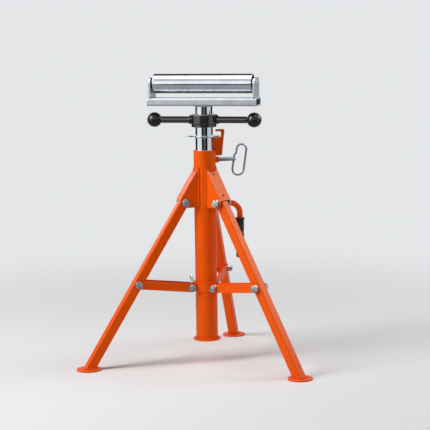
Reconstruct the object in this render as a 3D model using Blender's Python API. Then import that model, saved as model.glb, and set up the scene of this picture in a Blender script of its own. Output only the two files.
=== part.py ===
"""Folding roller stand: tripod column, pinned telescopic post, screw jack and roller head.

Metres, +Z up. The origin is the middle of the underside of the column's base flange, which
hangs GROUND_CLEARANCE above the floor. The roller's axle runs along X. The three legs stand
at 90, 210 and 330 degrees. The pin, the hook plate and the carrying handle share the gap at
30 degrees, and the wing screw of the sliding collar is in the gap at 150 degrees.

Spoke frame: X points away from the column, Y runs round it anticlockwise, Z is up.
"""
import math

import bmesh
import bpy
from mathutils import Matrix, Vector

# Fits
SEAT_GAP = 0.0003
SLIDE_CLEARANCE = 0.0004
BOLT_CLEARANCE = 0.0003
SIDE_PLAY = 0.0004

# Column
GROUND_CLEARANCE = 0.058
COLUMN_OD = 0.057
COLUMN_TOP = 0.498
BASE_FLANGE_OD = 0.071
BASE_FLANGE_THICKNESS = 0.005
BASE_PLUG = 0.0016
RIM_CHAMFER = 0.0008

# Post, its pin holes and the eared ring welded round it
POST_OD = 0.046
POST_WALL = 0.003
POST_ABOVE_RING = 0.024
HOLE_PITCH = 0.036
PIN_HOLES = 11
RING_ABOVE_COLUMN = 0.036
RING_THICKNESS = 0.0035
RING_OD = 0.055
EAR_RADIUS = 0.0445
EAR_WIDTH = 0.016
EAR_HOLE = 0.007
EAR_AZIMUTH = 7.0

# Lock pin, its welded bush and its wire bail
PIN_AZIMUTH = 30.0
PIN_BELOW_RIM = 0.026
PIN_DIAMETER = 0.010
PIN_OUTER_END = 0.0835
PIN_TIP_BEVEL = 0.0015
BUSH_OD = 0.016
BUSH_LENGTH = 0.009
BAIL_WIRE = 0.0052
BAIL_WIDTH = 0.036
BAIL_HEIGHT = 0.086
BAIL_TILT = 8.6
BAIL_EDGE_DISTANCE = 0.0045
BAIL_END_GAP = 0.0010
BAIL_KINK = 0.0045
BAIL_KINK_START = 0.009
BAIL_KINK_RUN = 0.008

# Hook plate beside the ring's ear
HOOK_THICKNESS = 0.005
HOOK_FOOT_DROP = 0.0155
HOOK_FOOT_WIDTH = 0.018
HOOK_REACH = 0.054
HOOK_LIP = 0.0055
HOOK_LIP_START = 0.0305
HOOK_UNDER_RING = 0.0025
HOOK_MOUTH = 0.0155
HOOK_STEM = 0.0085
HOOK_CORNER = 0.004
HOOK_POST_CLEARANCE = 0.0012

# Screw jack: nut with two bars and ball knobs, and the screw that it lifts
HUB_OD = 0.070
HUB_HEIGHT = 0.032
HUB_CHAMFER = 0.0012
HUB_SKIRT_HEIGHT = 0.007
HUB_SKIRT_STEP = 0.0024
BAR_DIAMETER = 0.0175
BAR_RISE = 0.002
BAR_COLLAR_OD = 0.022
BAR_COLLAR_LENGTH = 0.004
BAR_SINK = 0.010
BAR_NECK = 0.0117
BALL_DIAMETER = 0.0385
BALL_RADIUS_OUT = 0.132
BALL_SINK = 0.012
SCREW_DIAMETER = 0.034
SCREW_BELOW_HUB = 0.074

# Roller head
SLEEVE_OD = 0.0447
SLEEVE_LENGTH = 0.0224
HEAD_DEPTH = 0.057
HEAD_TUBE_HEIGHT = 0.020
HEAD_TUBE_WALL = 0.003
HEAD_TUBE_CORNER = 0.0035
END_PLATE_THICKNESS = 0.006
END_PLATE_INSET = 0.0035
END_PLATE_HEIGHT = 0.052
END_PLATE_CORNER = 0.014
AXLE_HEIGHT = 0.0365
AXLE_DIAMETER = 0.012
AXLE_STANDOUT = 0.0012
ROLLER_OD = 0.051
ROLLER_WALL = 0.003
ROLLER_LENGTH = 0.260
ROLLER_END_PLAY = 0.0045
CAP_THICKNESS = 0.012
CAP_RECESS = 0.0025
CAP_HUB_OD = 0.024
SHAFT_COLLAR_OD = 0.018

# Legs, brackets and feet
LEG_AZIMUTHS = {"a": 90.0, "b": 210.0, "c": 330.0}
LEG_ANGLE = 31.6
LEG_SIZE = 0.025
LEG_WALL = 0.002
LEG_CORNER = 0.0025
PIVOT_RADIUS = 0.0585
PIVOT_BELOW_RIM = 0.133
FOOT_DIAMETER = 0.064
FOOT_THICKNESS = 0.004
BRACKET_SHEET = 0.003
BRACKET_INSIDE = 0.0325
BRACKET_END_ROUND = 0.013
BRACKET_TOP_RADIUS = 0.0195
WEB_BELOW_PIVOT = 0.001
WEB_HOLE = 0.005
WEB_HOLE_FROM_FOOT = 0.014
WEB_HOLE_FROM_TOP = 0.016

# Bolts of the legs and links
BOLT_DIAMETER = 0.010
BOLT_HEAD = 0.017
BOLT_HEAD_HEIGHT = 0.0064
NUT_HEIGHT = 0.008
WASHER_OD = 0.0195
WASHER_THICKNESS = 0.0016
BOLT_STANDOUT = 0.0025

# Sliding collar, links and wing screw
COLLAR_HEIGHT = 0.143
COLLAR_LENGTH = 0.025
COLLAR_WALL = 0.0032
COLLAR_EAR_RADIUS = 0.043
COLLAR_EAR_ROUND = 0.0095
COLLAR_EAR_SHEET = 0.004
COLLAR_PIVOT_DROP = 0.002
LEG_TO_LINK = 0.243
LINK_SHEET = 0.0026
LINK_HEIGHT = 0.0225
LINK_WEB_START = 0.024
LINK_WEB_END = 0.080
BUSH_WALL = 0.0025
WING_AZIMUTH = 150.0
WING_SCREW_DIAMETER = 0.008
WING_BOSS_OD = 0.015
WING_BOSS_LENGTH = 0.010
WING_HUB_OD = 0.014
WING_HUB_LENGTH = 0.011
WING_SPAN = 0.046
WING_THICKNESS = 0.004
WING_STANDOFF = 0.003
WING_HUB_FACE = 0.0098
WING_TIP_ROUND = 0.0055
WING_SWEEP = 0.0088
WING_ROOT_RISE = 0.0016

# Carrying handle
HANDLE_AZIMUTH = 30.0
HANDLE_TUBE = 0.015
HANDLE_HEIGHT = 0.357
HANDLE_REACH = 0.094
HANDLE_BEND = 0.028
HANDLE_DROP = 0.040
GRIP_OD = 0.021
GRIP_LENGTH = 0.105
GRIP_WALL = 0.0026
GRIP_FLANGE_OD = 0.0245
GRIP_FLANGE_HEIGHT = 0.004
GRIP_RIBS = 3
GRIP_GROOVE_DEPTH = 0.0009
GRIP_GROOVE_WIDTH = 0.004
GRIP_GROOVE_SLOPE = 0.0025

# Facets round one turn
ROUND_LARGE = 28
ROUND_MEDIUM = 18
ROUND_BAR = 14
ROUND_SMALL = 12
ROUND_DRILL = 10
ROUND_WIRE = 8

# Sizes that follow from the ones above
COLUMN_BORE = POST_OD + 2 * SLIDE_CLEARANCE
COLUMN_RADIUS = COLUMN_OD / 2
PIN_HEIGHT = COLUMN_TOP - PIN_BELOW_RIM
PIVOT_HEIGHT = COLUMN_TOP - PIVOT_BELOW_RIM
RING_HEIGHT = COLUMN_TOP + RING_ABOVE_COLUMN
POST_TOP = RING_HEIGHT + POST_ABOVE_RING
POST_RADIUS = POST_OD / 2
POST_BOTTOM = BASE_FLANGE_THICKNESS + BASE_PLUG + SEAT_GAP
PIN_HOLE = PIN_DIAMETER + 2 * SLIDE_CLEARANCE
BOLT_HOLE = BOLT_DIAMETER + 2 * BOLT_CLEARANCE
HUB_BOTTOM = POST_TOP + SEAT_GAP
HUB_TOP = HUB_BOTTOM + HUB_HEIGHT
BAR_HEIGHT = HUB_BOTTOM + HUB_HEIGHT / 2 + BAR_RISE
SLEEVE_BOTTOM = HUB_TOP + SEAT_GAP
HEAD_BOTTOM = SLEEVE_BOTTOM + SLEEVE_LENGTH
HEAD_TOP = HEAD_BOTTOM + HEAD_TUBE_HEIGHT
SCREW_TOP = HEAD_BOTTOM - SEAT_GAP
SCREW_BOTTOM = HUB_BOTTOM - SCREW_BELOW_HUB
ROLLER_AXIS = HEAD_TOP + AXLE_HEIGHT
PLATE_INNER = ROLLER_LENGTH / 2 + ROLLER_END_PLAY
PLATE_OUTER = PLATE_INNER + END_PLATE_THICKNESS
HEAD_LENGTH = 2 * (PLATE_OUTER + END_PLATE_INSET)
LEG_RADIANS = math.radians(LEG_ANGLE)
LEG_HALF = LEG_SIZE / 2
CHEEK_INNER = LEG_HALF + SIDE_PLAY
CHEEK_OUTER = CHEEK_INNER + LINK_SHEET
COLLAR_BORE = COLUMN_OD + 2 * SLIDE_CLEARANCE
COLLAR_OD = COLLAR_BORE + 2 * COLLAR_WALL
COLLAR_PIVOT_HEIGHT = COLLAR_HEIGHT - COLLAR_PIVOT_DROP
LINK_PIVOT_RADIUS = PIVOT_RADIUS + LEG_TO_LINK * math.sin(LEG_RADIANS)
LINK_PIVOT_HEIGHT = PIVOT_HEIGHT - LEG_TO_LINK * math.cos(LEG_RADIANS)
LINK_RUN = LINK_PIVOT_RADIUS - COLLAR_EAR_RADIUS
LINK_RISE = LINK_PIVOT_HEIGHT - COLLAR_PIVOT_HEIGHT
LINK_LENGTH = math.hypot(LINK_RUN, LINK_RISE)
LINK_RADIANS = math.atan2(LINK_RISE, LINK_RUN)
FLOOR = -GROUND_CLEARANCE
FOOT_TOP = FLOOR + FOOT_THICKNESS
FOOT_RADIUS_OUT = PIVOT_RADIUS + (PIVOT_HEIGHT - FLOOR) * math.tan(LEG_RADIANS)


# Scene helpers

def clear_scene():
    """Remove every object, so that the script starts from an empty scene."""
    for old in list(bpy.data.objects):
        bpy.data.objects.remove(old, do_unlink=True)


def srgb(hex_colour):
    """Linear RGBA of a colour written as RRGGBB."""
    levels = [int(hex_colour[i:i + 2], 16) / 255.0 for i in (0, 2, 4)]
    linear = [v / 12.92 if v <= 0.04045 else ((v + 0.055) / 1.055) ** 2.4 for v in levels]
    return (*linear, 1.0)


def finish_material(name, hex_colour, roughness, metallic):
    """Principled material with one colour, roughness and metallic value."""
    material = bpy.data.materials.new(name)
    material.use_nodes = True
    shader = material.node_tree.nodes["Principled BSDF"]
    shader.inputs["Base Color"].default_value = srgb(hex_colour)
    shader.inputs["Roughness"].default_value = roughness
    shader.inputs["Metallic"].default_value = metallic
    return material


def pivot(name, matrix, parent=None):
    """Empty that carries the pieces of one body, with its origin on the joint's axis."""
    empty = bpy.data.objects.new(name, None)
    bpy.context.collection.objects.link(empty)
    empty.empty_display_size = 0.02
    empty.parent = parent
    empty.matrix_basis = matrix if parent is None else WORLD[parent.name].inverted() @ matrix
    WORLD[name] = matrix
    return empty


def spoke(azimuth, radius=0.0, height=0.0):
    """World matrix of a spoke frame at this azimuth in degrees, radius and height."""
    turn = Matrix.Rotation(math.radians(azimuth), 4, "Z")
    return turn @ Matrix.Translation((radius, 0.0, height))


def local(empty, matrix):
    """Matrix that takes a shape drawn in `matrix`'s frame into the empty's own frame."""
    return WORLD[empty.name].inverted() @ matrix


def make(name, bm, empty, look, frame=None, smooth=35.0):
    """Turn a bmesh drawn in `frame` into a named object carried by the empty."""
    bmesh.ops.remove_doubles(bm, verts=bm.verts, dist=1e-6)
    bmesh.ops.recalc_face_normals(bm, faces=bm.faces)
    mesh = bpy.data.meshes.new(name)
    bm.to_mesh(mesh)
    bm.free()
    mesh.transform(local(empty, Matrix.Identity(4) if frame is None else frame))
    if smooth:
        mesh.shade_smooth()
        mesh.set_sharp_from_angle(angle=math.radians(smooth))
    mesh.materials.append(finish_material(name, *look))
    piece = bpy.data.objects.new(name, mesh)
    bpy.context.collection.objects.link(piece)
    piece.parent = empty
    return piece


def boolean(piece, bm, operation="DIFFERENCE", frame=None):
    """Cut the bmesh out of the piece, or join it on, with a hidden wire-drawn helper."""
    bmesh.ops.remove_doubles(bm, verts=bm.verts, dist=1e-6)
    bmesh.ops.recalc_face_normals(bm, faces=bm.faces)
    helper_name = f"{piece.name}_helper_{len(piece.modifiers)}"
    mesh = bpy.data.meshes.new(helper_name)
    bm.to_mesh(mesh)
    bm.free()
    mesh.transform(local(piece.parent, Matrix.Identity(4) if frame is None else frame))
    helper = bpy.data.objects.new(helper_name, mesh)
    bpy.context.collection.objects.link(helper)
    helper.parent = piece.parent
    helper.hide_render = True
    helper.display_type = "WIRE"
    step = piece.modifiers.new(operation.title(), "BOOLEAN")
    step.operation = operation
    step.solver = "EXACT"
    step.object = helper
    return piece


# Shape helpers, each of which returns a bmesh

def arc(centre, radius, start, end, steps):
    """Points on an arc, angles in degrees, both ends included."""
    angles = [math.radians(start + (end - start) * i / steps) for i in range(steps + 1)]
    return [(centre[0] + radius * math.cos(a), centre[1] + radius * math.sin(a)) for a in angles]


def rounded_box_outline(width, height, corner, steps=4):
    """Outline of a rectangle about the origin with rounded corners."""
    x, y = width / 2 - corner, height / 2 - corner
    points = []
    for centre, start in (((x, y), 0), ((-x, y), 90), ((-x, -y), 180), ((x, -y), 270)):
        points += arc(centre, corner, start, start + 90, steps)
    return points


def lathe(profile, steps=ROUND_LARGE):
    """Turn a closed outline of (radius, height) points about Z."""
    bm = bmesh.new()
    corners = [bm.verts.new((r, 0.0, z)) for r, z in profile]
    edges = [bm.edges.new((corners[i - 1], corners[i])) for i in range(len(corners))]
    bmesh.ops.spin(bm, geom=corners + edges, cent=(0, 0, 0), axis=(0, 0, 1),
                   angle=math.tau, steps=steps, use_merge=True)
    bmesh.ops.remove_doubles(bm, verts=bm.verts, dist=1e-6)
    loose = [e for e in bm.edges if not e.link_faces]
    bmesh.ops.delete(bm, geom=loose, context="EDGES")
    return bm


def tube(outer, inner, bottom, top, chamfer=0.0, steps=ROUND_LARGE):
    """Round tube, or a solid bar where `inner` is None, with chamfered outer rims."""
    r, c = outer / 2, chamfer
    rims = [(r, bottom + c), (r, top - c), (r - c, top)] if c else [(r, bottom), (r, top)]
    core = 0.0 if inner is None else inner / 2
    profile = rims + [(core, top), (core, bottom)]
    if c:
        profile.append((r - c, bottom))
    return lathe(profile, steps)


def prism(outline, start, end, plane="XZ"):
    """Extrude a closed outline: XZ runs along Y, YZ along X and XY along Z."""
    place = {"XZ": lambda a, b, d: (a, d, b), "YZ": lambda a, b, d: (d, a, b),
             "XY": lambda a, b, d: (a, b, d)}[plane]
    bm = bmesh.new()
    face = bm.faces.new([bm.verts.new(place(a, b, start)) for a, b in outline])
    grown = bmesh.ops.extrude_face_region(bm, geom=[face])
    moved = [v for v in grown["geom"] if isinstance(v, bmesh.types.BMVert)]
    bmesh.ops.translate(bm, verts=moved, vec=Vector(place(0.0, 0.0, end - start)))
    return bm


def box(size, centre):
    """Block with its edges along the axes."""
    bm = bmesh.new()
    bmesh.ops.create_cube(bm, size=1.0)
    bmesh.ops.scale(bm, verts=bm.verts, vec=Vector(size))
    bmesh.ops.translate(bm, verts=bm.verts, vec=Vector(centre))
    return bm


def joined(*shapes):
    """One bmesh that holds several shapes as separate bodies."""
    whole = bmesh.new()
    for shape in shapes:
        mesh = bpy.data.meshes.new("shape")
        shape.to_mesh(mesh)
        shape.free()
        whole.from_mesh(mesh)
        bpy.data.meshes.remove(mesh)
    return whole


def moved(bm, matrix):
    """The bmesh after a transform."""
    bmesh.ops.transform(bm, matrix=matrix, verts=bm.verts)
    return bm


def along_y(bm, x=0.0, z=0.0):
    """Stand a shape that was turned about Z along +Y, at x and z."""
    return moved(bm, Matrix.Translation((x, 0.0, z)) @ Matrix.Rotation(-math.pi / 2, 4, "X"))


def along_x(bm, y=0.0, z=0.0):
    """Lay a shape that was turned about Z along +X, at y and z."""
    return moved(bm, Matrix.Translation((0.0, y, z)) @ Matrix.Rotation(math.pi / 2, 4, "Y"))


def swept_bar(route, diameter, steps):
    """Round bar along a route of (x, z) points in the XZ plane, with flat ends."""
    bm = bmesh.new()
    side = Vector((0.0, 1.0, 0.0))
    points = [Vector((x, 0.0, z)) for x, z in route]
    angles = [math.tau * k / steps for k in range(steps)]
    rings = []
    for i, point in enumerate(points):
        ahead = (points[min(i + 1, len(points) - 1)] - points[max(i - 1, 0)]).normalized()
        across = ahead.cross(side)
        rings.append([bm.verts.new(point + (side * math.cos(a) + across * math.sin(a)) * diameter / 2)
                      for a in angles])
    for near, far in zip(rings, rings[1:]):
        for k in range(steps):
            bm.faces.new((near[k - 1], near[k], far[k], far[k - 1]))
    bm.faces.new(rings[0])
    bm.faces.new(list(reversed(rings[-1])))
    return bm


def hexagon(across_flats, bottom, top):
    """Hexagon bar about Z."""
    points = [(across_flats / math.sqrt(3) * math.cos(math.tau * i / 6),
               across_flats / math.sqrt(3) * math.sin(math.tau * i / 6)) for i in range(6)]
    return prism(points, bottom, top, "XY")


# Looks of the CAD model

ORANGE = ("FF5A0A", 0.42, 0.0)
CHROME = ("D8DADC", 0.12, 1.0)
ZINC = ("B9BEC6", 0.35, 1.0)
BLACK = ("1B1B1C", 0.45, 0.0)
RUBBER = ("161617", 0.80, 0.0)
WORLD = {}


# Column

def column_tube(body):
    """Outer tube, drilled through one wall at the pin's height."""
    tube_shape = tube(COLUMN_OD, COLUMN_BORE, BASE_FLANGE_THICKNESS + SEAT_GAP, COLUMN_TOP,
                      RIM_CHAMFER)
    piece = make("column_tube", tube_shape, body, ORANGE)
    drill = along_x(tube(PIN_HOLE, None, 0.0, COLUMN_OD, steps=ROUND_SMALL), z=PIN_HEIGHT)
    return boolean(piece, drill, frame=spoke(PIN_AZIMUTH))


def column_base(body):
    """Round plate that closes the column, with a low plug inside the tube."""
    r, t = BASE_FLANGE_OD / 2, BASE_FLANGE_THICKNESS
    plug = COLUMN_BORE / 2 - SEAT_GAP
    profile = [(0.0, 0.0), (r - RIM_CHAMFER, 0.0), (r, RIM_CHAMFER), (r, t - RIM_CHAMFER),
               (r - RIM_CHAMFER, t), (plug, t), (plug, t + BASE_PLUG), (0.0, t + BASE_PLUG)]
    return make("column_base", lathe(profile), body, ORANGE)


def leg_point(down, out=0.0):
    """Point in a spoke frame, `down` the leg from its pivot and `out` from its centre line."""
    s, c = math.sin(LEG_RADIANS), math.cos(LEG_RADIANS)
    return (PIVOT_RADIUS + down * s + out * c, PIVOT_HEIGHT - down * c + out * s)


def bracket(body, letter, azimuth):
    """Folded channel on the column: two flanges beside the leg and a sloping web over it."""
    web_inner = LEG_HALF + SEAT_GAP
    web_outer = web_inner + BRACKET_SHEET
    up = (leg_point(0.0, web_outer)[0] - BRACKET_TOP_RADIUS) / math.sin(LEG_RADIANS)
    base = PIVOT_HEIGHT - BRACKET_END_ROUND
    outline = [(BRACKET_TOP_RADIUS, base),
               *arc((PIVOT_RADIUS, PIVOT_HEIGHT), BRACKET_END_ROUND, -90, LEG_ANGLE, 9),
               leg_point(WEB_BELOW_PIVOT, web_outer), leg_point(-up, web_outer)]
    half = BRACKET_INSIDE / 2
    piece = make(f"bracket_{letter}", prism(outline, -half - BRACKET_SHEET, half + BRACKET_SHEET),
                 body, ORANGE, spoke(azimuth))
    inner_top = leg_point(-up - BRACKET_SHEET, web_inner)
    reach = 2 * LEG_SIZE
    room = [(0.0, base - BRACKET_SHEET), leg_point(reach, 0.0), leg_point(reach, reach),
            leg_point(WEB_BELOW_PIVOT + SEAT_GAP, reach),
            leg_point(WEB_BELOW_PIVOT + SEAT_GAP, web_inner), inner_top, (0.0, inner_top[1])]
    boolean(piece, prism(room, -half, half), frame=spoke(azimuth))
    boolean(piece, tube(COLUMN_OD + 2 * SEAT_GAP, None, 0.0, COLUMN_TOP))
    bore = along_y(tube(BOLT_HOLE, None, -LEG_SIZE, LEG_SIZE, steps=ROUND_SMALL),
                   PIVOT_RADIUS, PIVOT_HEIGHT)
    boolean(piece, bore, frame=spoke(azimuth))
    for down in (WEB_BELOW_PIVOT - WEB_HOLE_FROM_FOOT, WEB_HOLE_FROM_TOP - up):
        x, z = leg_point(down, web_inner)
        lean = Matrix.Translation((x, 0.0, z)) @ Matrix.Rotation(math.pi / 2 - LEG_RADIANS, 4, "Y")
        hole = moved(tube(WEB_HOLE, None, -BRACKET_SHEET, 2 * BRACKET_SHEET, steps=ROUND_WIRE), lean)
        boolean(piece, hole, frame=spoke(azimuth))
    return piece


def through_bolt(body, name, grip_half, frame):
    """Bolt through a clevis along Y: head on the +Y side, nut on the other, a washer under each."""
    seat = grip_half + SEAT_GAP
    washer = seat + WASHER_THICKNESS
    tail = washer + NUT_HEIGHT + BOLT_STANDOUT
    r, wide = BOLT_DIAMETER / 2, WASHER_OD / 2
    profile = [(0.0, washer), (wide, washer), (wide, seat), (r, seat), (r, -seat), (wide, -seat),
               (wide, -washer), (r, -washer), (r, -tail), (0.0, -tail)]
    piece = make(name, along_y(lathe(profile, ROUND_SMALL)), body, ZINC, frame)
    head = along_y(hexagon(BOLT_HEAD, washer - SEAT_GAP, washer + BOLT_HEAD_HEIGHT))
    flip = Matrix.Rotation(math.pi, 4, "Z")
    nut = moved(along_y(hexagon(BOLT_HEAD, washer - SEAT_GAP, washer + NUT_HEIGHT)), flip)
    boolean(piece, head, "UNION", frame)
    return boolean(piece, nut, "UNION", frame)


def pivot_spacer(body, letter, side, sign, azimuth):
    """Ring on the pivot bolt that keeps the leg in the middle of its bracket."""
    ends = sorted((sign * (LEG_HALF + SIDE_PLAY), sign * (BRACKET_INSIDE / 2 - SEAT_GAP)))
    ring = tube(WASHER_OD, BOLT_HOLE, *ends, steps=ROUND_SMALL)
    return make(f"spacer_{letter}_{side}", along_y(ring), body, ZINC,
                spoke(azimuth, PIVOT_RADIUS, PIVOT_HEIGHT))


def hook_plate(body):
    """Upright plate on the column's shoulder, hooked at the top to hold down the ring's ear."""
    shoulder = COLUMN_TOP + SEAT_GAP
    inner = COLUMN_RADIUS + SEAT_GAP
    foot = COLUMN_TOP - HOOK_FOOT_DROP
    beside_post = POST_RADIUS + HOOK_POST_CLEARANCE
    throat_bottom = RING_HEIGHT - RING_THICKNESS / 2 - HOOK_UNDER_RING
    throat_top = throat_bottom + HOOK_MOUTH
    top = throat_top + HOOK_LIP
    stem = HOOK_REACH - HOOK_STEM
    c = HOOK_CORNER
    outline = [(inner, foot), (inner + HOOK_FOOT_WIDTH, foot),
               *arc((HOOK_REACH - c, top - c), c, 0, 90, 5),
               (HOOK_LIP_START, top), (HOOK_LIP_START, throat_top),
               *arc((stem - c, throat_top - c), c, 90, 0, 4),
               *arc((stem - c, throat_bottom + c), c, 0, -90, 4),
               (beside_post, throat_bottom), (beside_post, shoulder), (inner, shoulder)]
    half = HOOK_THICKNESS / 2
    piece = make("hook_plate", prism(outline, -half, half), body, ORANGE, spoke(PIN_AZIMUTH))
    return boolean(piece, tube(COLUMN_OD + 2 * SEAT_GAP, None, 0.0, shoulder))


def pin_bush(body):
    """Short tube welded on the column, in which the lock pin slides."""
    shape = tube(BUSH_OD, PIN_HOLE, COLUMN_RADIUS - BUSH_LENGTH, COLUMN_RADIUS + BUSH_LENGTH,
                 RIM_CHAMFER, ROUND_MEDIUM)
    piece = make("pin_bush", along_x(shape, z=PIN_HEIGHT), body, ORANGE, spoke(PIN_AZIMUTH))
    return boolean(piece, tube(COLUMN_OD + 2 * SEAT_GAP, None, 0.0, COLUMN_TOP))


def handle_end():
    """Height of the tube's lower end, inside the closed end of the grip."""
    return HANDLE_HEIGHT - HANDLE_DROP - GRIP_LENGTH + GRIP_WALL + SEAT_GAP


def carry_handle(body):
    """Bent tube, coped to the column at one end and run down inside the grip."""
    bend = arc((HANDLE_REACH - HANDLE_BEND, HANDLE_HEIGHT - HANDLE_BEND), HANDLE_BEND, 90, 0, 9)
    route = [(0.0, HANDLE_HEIGHT), *bend, (HANDLE_REACH, handle_end())]
    piece = make("carry_handle", swept_bar(route, HANDLE_TUBE, ROUND_BAR), body, ORANGE,
                 spoke(HANDLE_AZIMUTH))
    return boolean(piece, tube(COLUMN_OD + 2 * SEAT_GAP, None, 0.0, COLUMN_TOP))


def handle_grip(body):
    """Moulded grip: closed lower end, grooved side and a flange at its mouth."""
    top = HANDLE_HEIGHT - HANDLE_DROP
    bottom = top - GRIP_LENGTH
    r, bore, flange = GRIP_OD / 2, HANDLE_TUBE / 2 + SEAT_GAP, GRIP_FLANGE_OD / 2
    groove, slope = r - GRIP_GROOVE_DEPTH, GRIP_GROOVE_SLOPE
    pitch = (GRIP_LENGTH - GRIP_FLANGE_HEIGHT) / GRIP_RIBS
    side = []
    for i in range(1, GRIP_RIBS):
        low = bottom + i * pitch - GRIP_GROOVE_WIDTH / 2
        high = low + GRIP_GROOVE_WIDTH
        side += [(r, low - slope), (groove, low), (groove, high), (r, high + slope)]
    neck = top - GRIP_FLANGE_HEIGHT
    profile = [(0.0, bottom), (r - GRIP_WALL, bottom), (r, bottom + GRIP_WALL), *side,
               (r, neck - slope), (flange, neck), (flange, top), (bore, top),
               (bore, handle_end() - SEAT_GAP), (0.0, handle_end() - SEAT_GAP)]
    return make("handle_grip", lathe(profile, ROUND_BAR), body, RUBBER,
                spoke(HANDLE_AZIMUTH, HANDLE_REACH))


# Post

def post_tube(body):
    """Inner tube with a row of pin holes; its lower end stands on the column's base."""
    shape = tube(POST_OD, POST_OD - 2 * POST_WALL, POST_BOTTOM, POST_TOP, RIM_CHAMFER)
    piece = make("post_tube", shape, body, CHROME)
    drills = []
    for i in range(PIN_HOLES):
        drill = tube(PIN_HOLE, None, 0.0, POST_OD, steps=ROUND_DRILL)
        drills.append(along_x(drill, z=PIN_HEIGHT - i * HOLE_PITCH))
    return boolean(piece, joined(*drills), frame=spoke(PIN_AZIMUTH))


def ear_ring(body):
    """Flat ring welded round the post, with two drilled ears."""
    low, high = RING_HEIGHT - RING_THICKNESS / 2, RING_HEIGHT + RING_THICKNESS / 2
    half, ring = EAR_WIDTH / 2, RING_OD / 2
    reach = EAR_RADIUS - half
    root = math.degrees(math.asin(half / ring))
    outline = (arc((reach, 0.0), half, -90, 90, 10) + arc((0.0, 0.0), ring, root, 180 - root, 14)
               + arc((-reach, 0.0), half, 90, 270, 10)
               + arc((0.0, 0.0), ring, 180 + root, 360 - root, 14))
    piece = make("ear_ring", prism(outline, low, high, "XY"), body, CHROME, spoke(EAR_AZIMUTH))
    boolean(piece, tube(POST_OD + 2 * SEAT_GAP, None, low - half, high + half))
    for side in (reach, -reach):
        hole = moved(tube(EAR_HOLE, None, low - half, high + half, steps=ROUND_SMALL),
                     Matrix.Translation((side, 0.0, 0.0)))
        boolean(piece, hole, frame=spoke(EAR_AZIMUTH))
    return piece


# Screw jack

def nut_hub(body):
    """Turning nut on the post: a shallow skirt below the band that holds the bars."""
    r, c = HUB_OD / 2, HUB_CHAMFER
    bore = SCREW_DIAMETER / 2 + SLIDE_CLEARANCE
    waist = HUB_BOTTOM + HUB_SKIRT_HEIGHT
    skirt = r - HUB_SKIRT_STEP
    profile = [(bore, HUB_BOTTOM), (skirt - c, HUB_BOTTOM), (skirt, HUB_BOTTOM + c), (skirt, waist),
               (r, waist + c), (r, HUB_TOP - c), (r - c, HUB_TOP), (bore, HUB_TOP)]
    piece = make("nut_hub", lathe(profile), body, BLACK)
    for side in (0.0, 180.0):
        bore_out = tube(BAR_DIAMETER + 2 * SEAT_GAP, None, HUB_OD / 2 - BAR_SINK - SEAT_GAP, HUB_OD,
                        steps=ROUND_BAR)
        boolean(piece, along_x(bore_out, z=BAR_HEIGHT), frame=spoke(side))
    return piece


def turning_bar(body, side, azimuth):
    """Round bar screwed into the hub, with a stop collar and a turned-down end for its knob."""
    start = HUB_OD / 2 - BAR_SINK
    face = BALL_RADIUS_OUT - BALL_DIAMETER / 2 + SEAT_GAP
    end = face + BALL_SINK - SEAT_GAP
    r, neck = BAR_DIAMETER / 2, BAR_NECK / 2
    collar_start = HUB_OD / 2 + SEAT_GAP
    collar_end = collar_start + BAR_COLLAR_LENGTH
    profile = [(0.0, start), (r, start), (r, collar_start), (BAR_COLLAR_OD / 2, collar_start),
               (BAR_COLLAR_OD / 2, collar_end - RIM_CHAMFER),
               (BAR_COLLAR_OD / 2 - RIM_CHAMFER, collar_end), (r, collar_end), (r, face),
               (neck, face), (neck, end), (0.0, end)]
    shape = along_x(lathe(profile, ROUND_BAR), z=BAR_HEIGHT)
    return make(f"turning_bar_{side}", shape, body, BLACK, spoke(azimuth))


def ball_knob(body, side, azimuth):
    """Ball knob with a flat round its bore."""
    radius = BALL_DIAMETER / 2
    inner = BALL_RADIUS_OUT - radius
    hole = BAR_NECK / 2 + SEAT_GAP
    flat = BAR_DIAMETER / 2
    first = math.degrees(math.acos(-math.sqrt(1 - (flat / radius) ** 2)))
    points = [(p[1], BALL_RADIUS_OUT + p[0]) for p in arc((0.0, 0.0), radius, first, 0, 8)]
    seat = points[0][1]
    depth = inner + BALL_SINK + 2 * SEAT_GAP
    profile = [(hole, seat), *points[:-1], (0.0, BALL_RADIUS_OUT + radius), (0.0, depth), (hole, depth)]
    shape = along_x(lathe(profile, ROUND_MEDIUM), z=BAR_HEIGHT)
    return make(f"ball_knob_{side}", shape, body, BLACK, spoke(azimuth), smooth=50.0)


def lift_screw(body):
    """Screw that rises out of the hub; it carries the head on its turned top end."""
    shape = tube(SCREW_DIAMETER, None, SCREW_BOTTOM, SCREW_TOP, RIM_CHAMFER * 2, ROUND_MEDIUM)
    return make("lift_screw", shape, body, ZINC)


# Roller head

def head_sleeve(body):
    """Sleeve under the head that turns on the screw's top end."""
    shape = tube(SLEEVE_OD, SCREW_DIAMETER + 2 * SLIDE_CLEARANCE, SLEEVE_BOTTOM,
                 HEAD_BOTTOM - SEAT_GAP, RIM_CHAMFER)
    return make("head_sleeve", shape, body, CHROME)


def head_base(body):
    """Flat rectangular tube with rounded edges and open ends."""
    middle = HEAD_BOTTOM + HEAD_TUBE_HEIGHT / 2
    half = HEAD_LENGTH / 2
    shift = Matrix.Translation((0.0, 0.0, middle))
    outer = rounded_box_outline(HEAD_DEPTH, HEAD_TUBE_HEIGHT, HEAD_TUBE_CORNER)
    inner = rounded_box_outline(HEAD_DEPTH - 2 * HEAD_TUBE_WALL, HEAD_TUBE_HEIGHT - 2 * HEAD_TUBE_WALL,
                                HEAD_TUBE_CORNER / 3, 2)
    piece = make("head_base", prism(outer, -half, half, "YZ"), body, CHROME, shift)
    return boolean(piece, prism(inner, -half - HEAD_TUBE_WALL, half + HEAD_TUBE_WALL, "YZ"), frame=shift)


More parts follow.
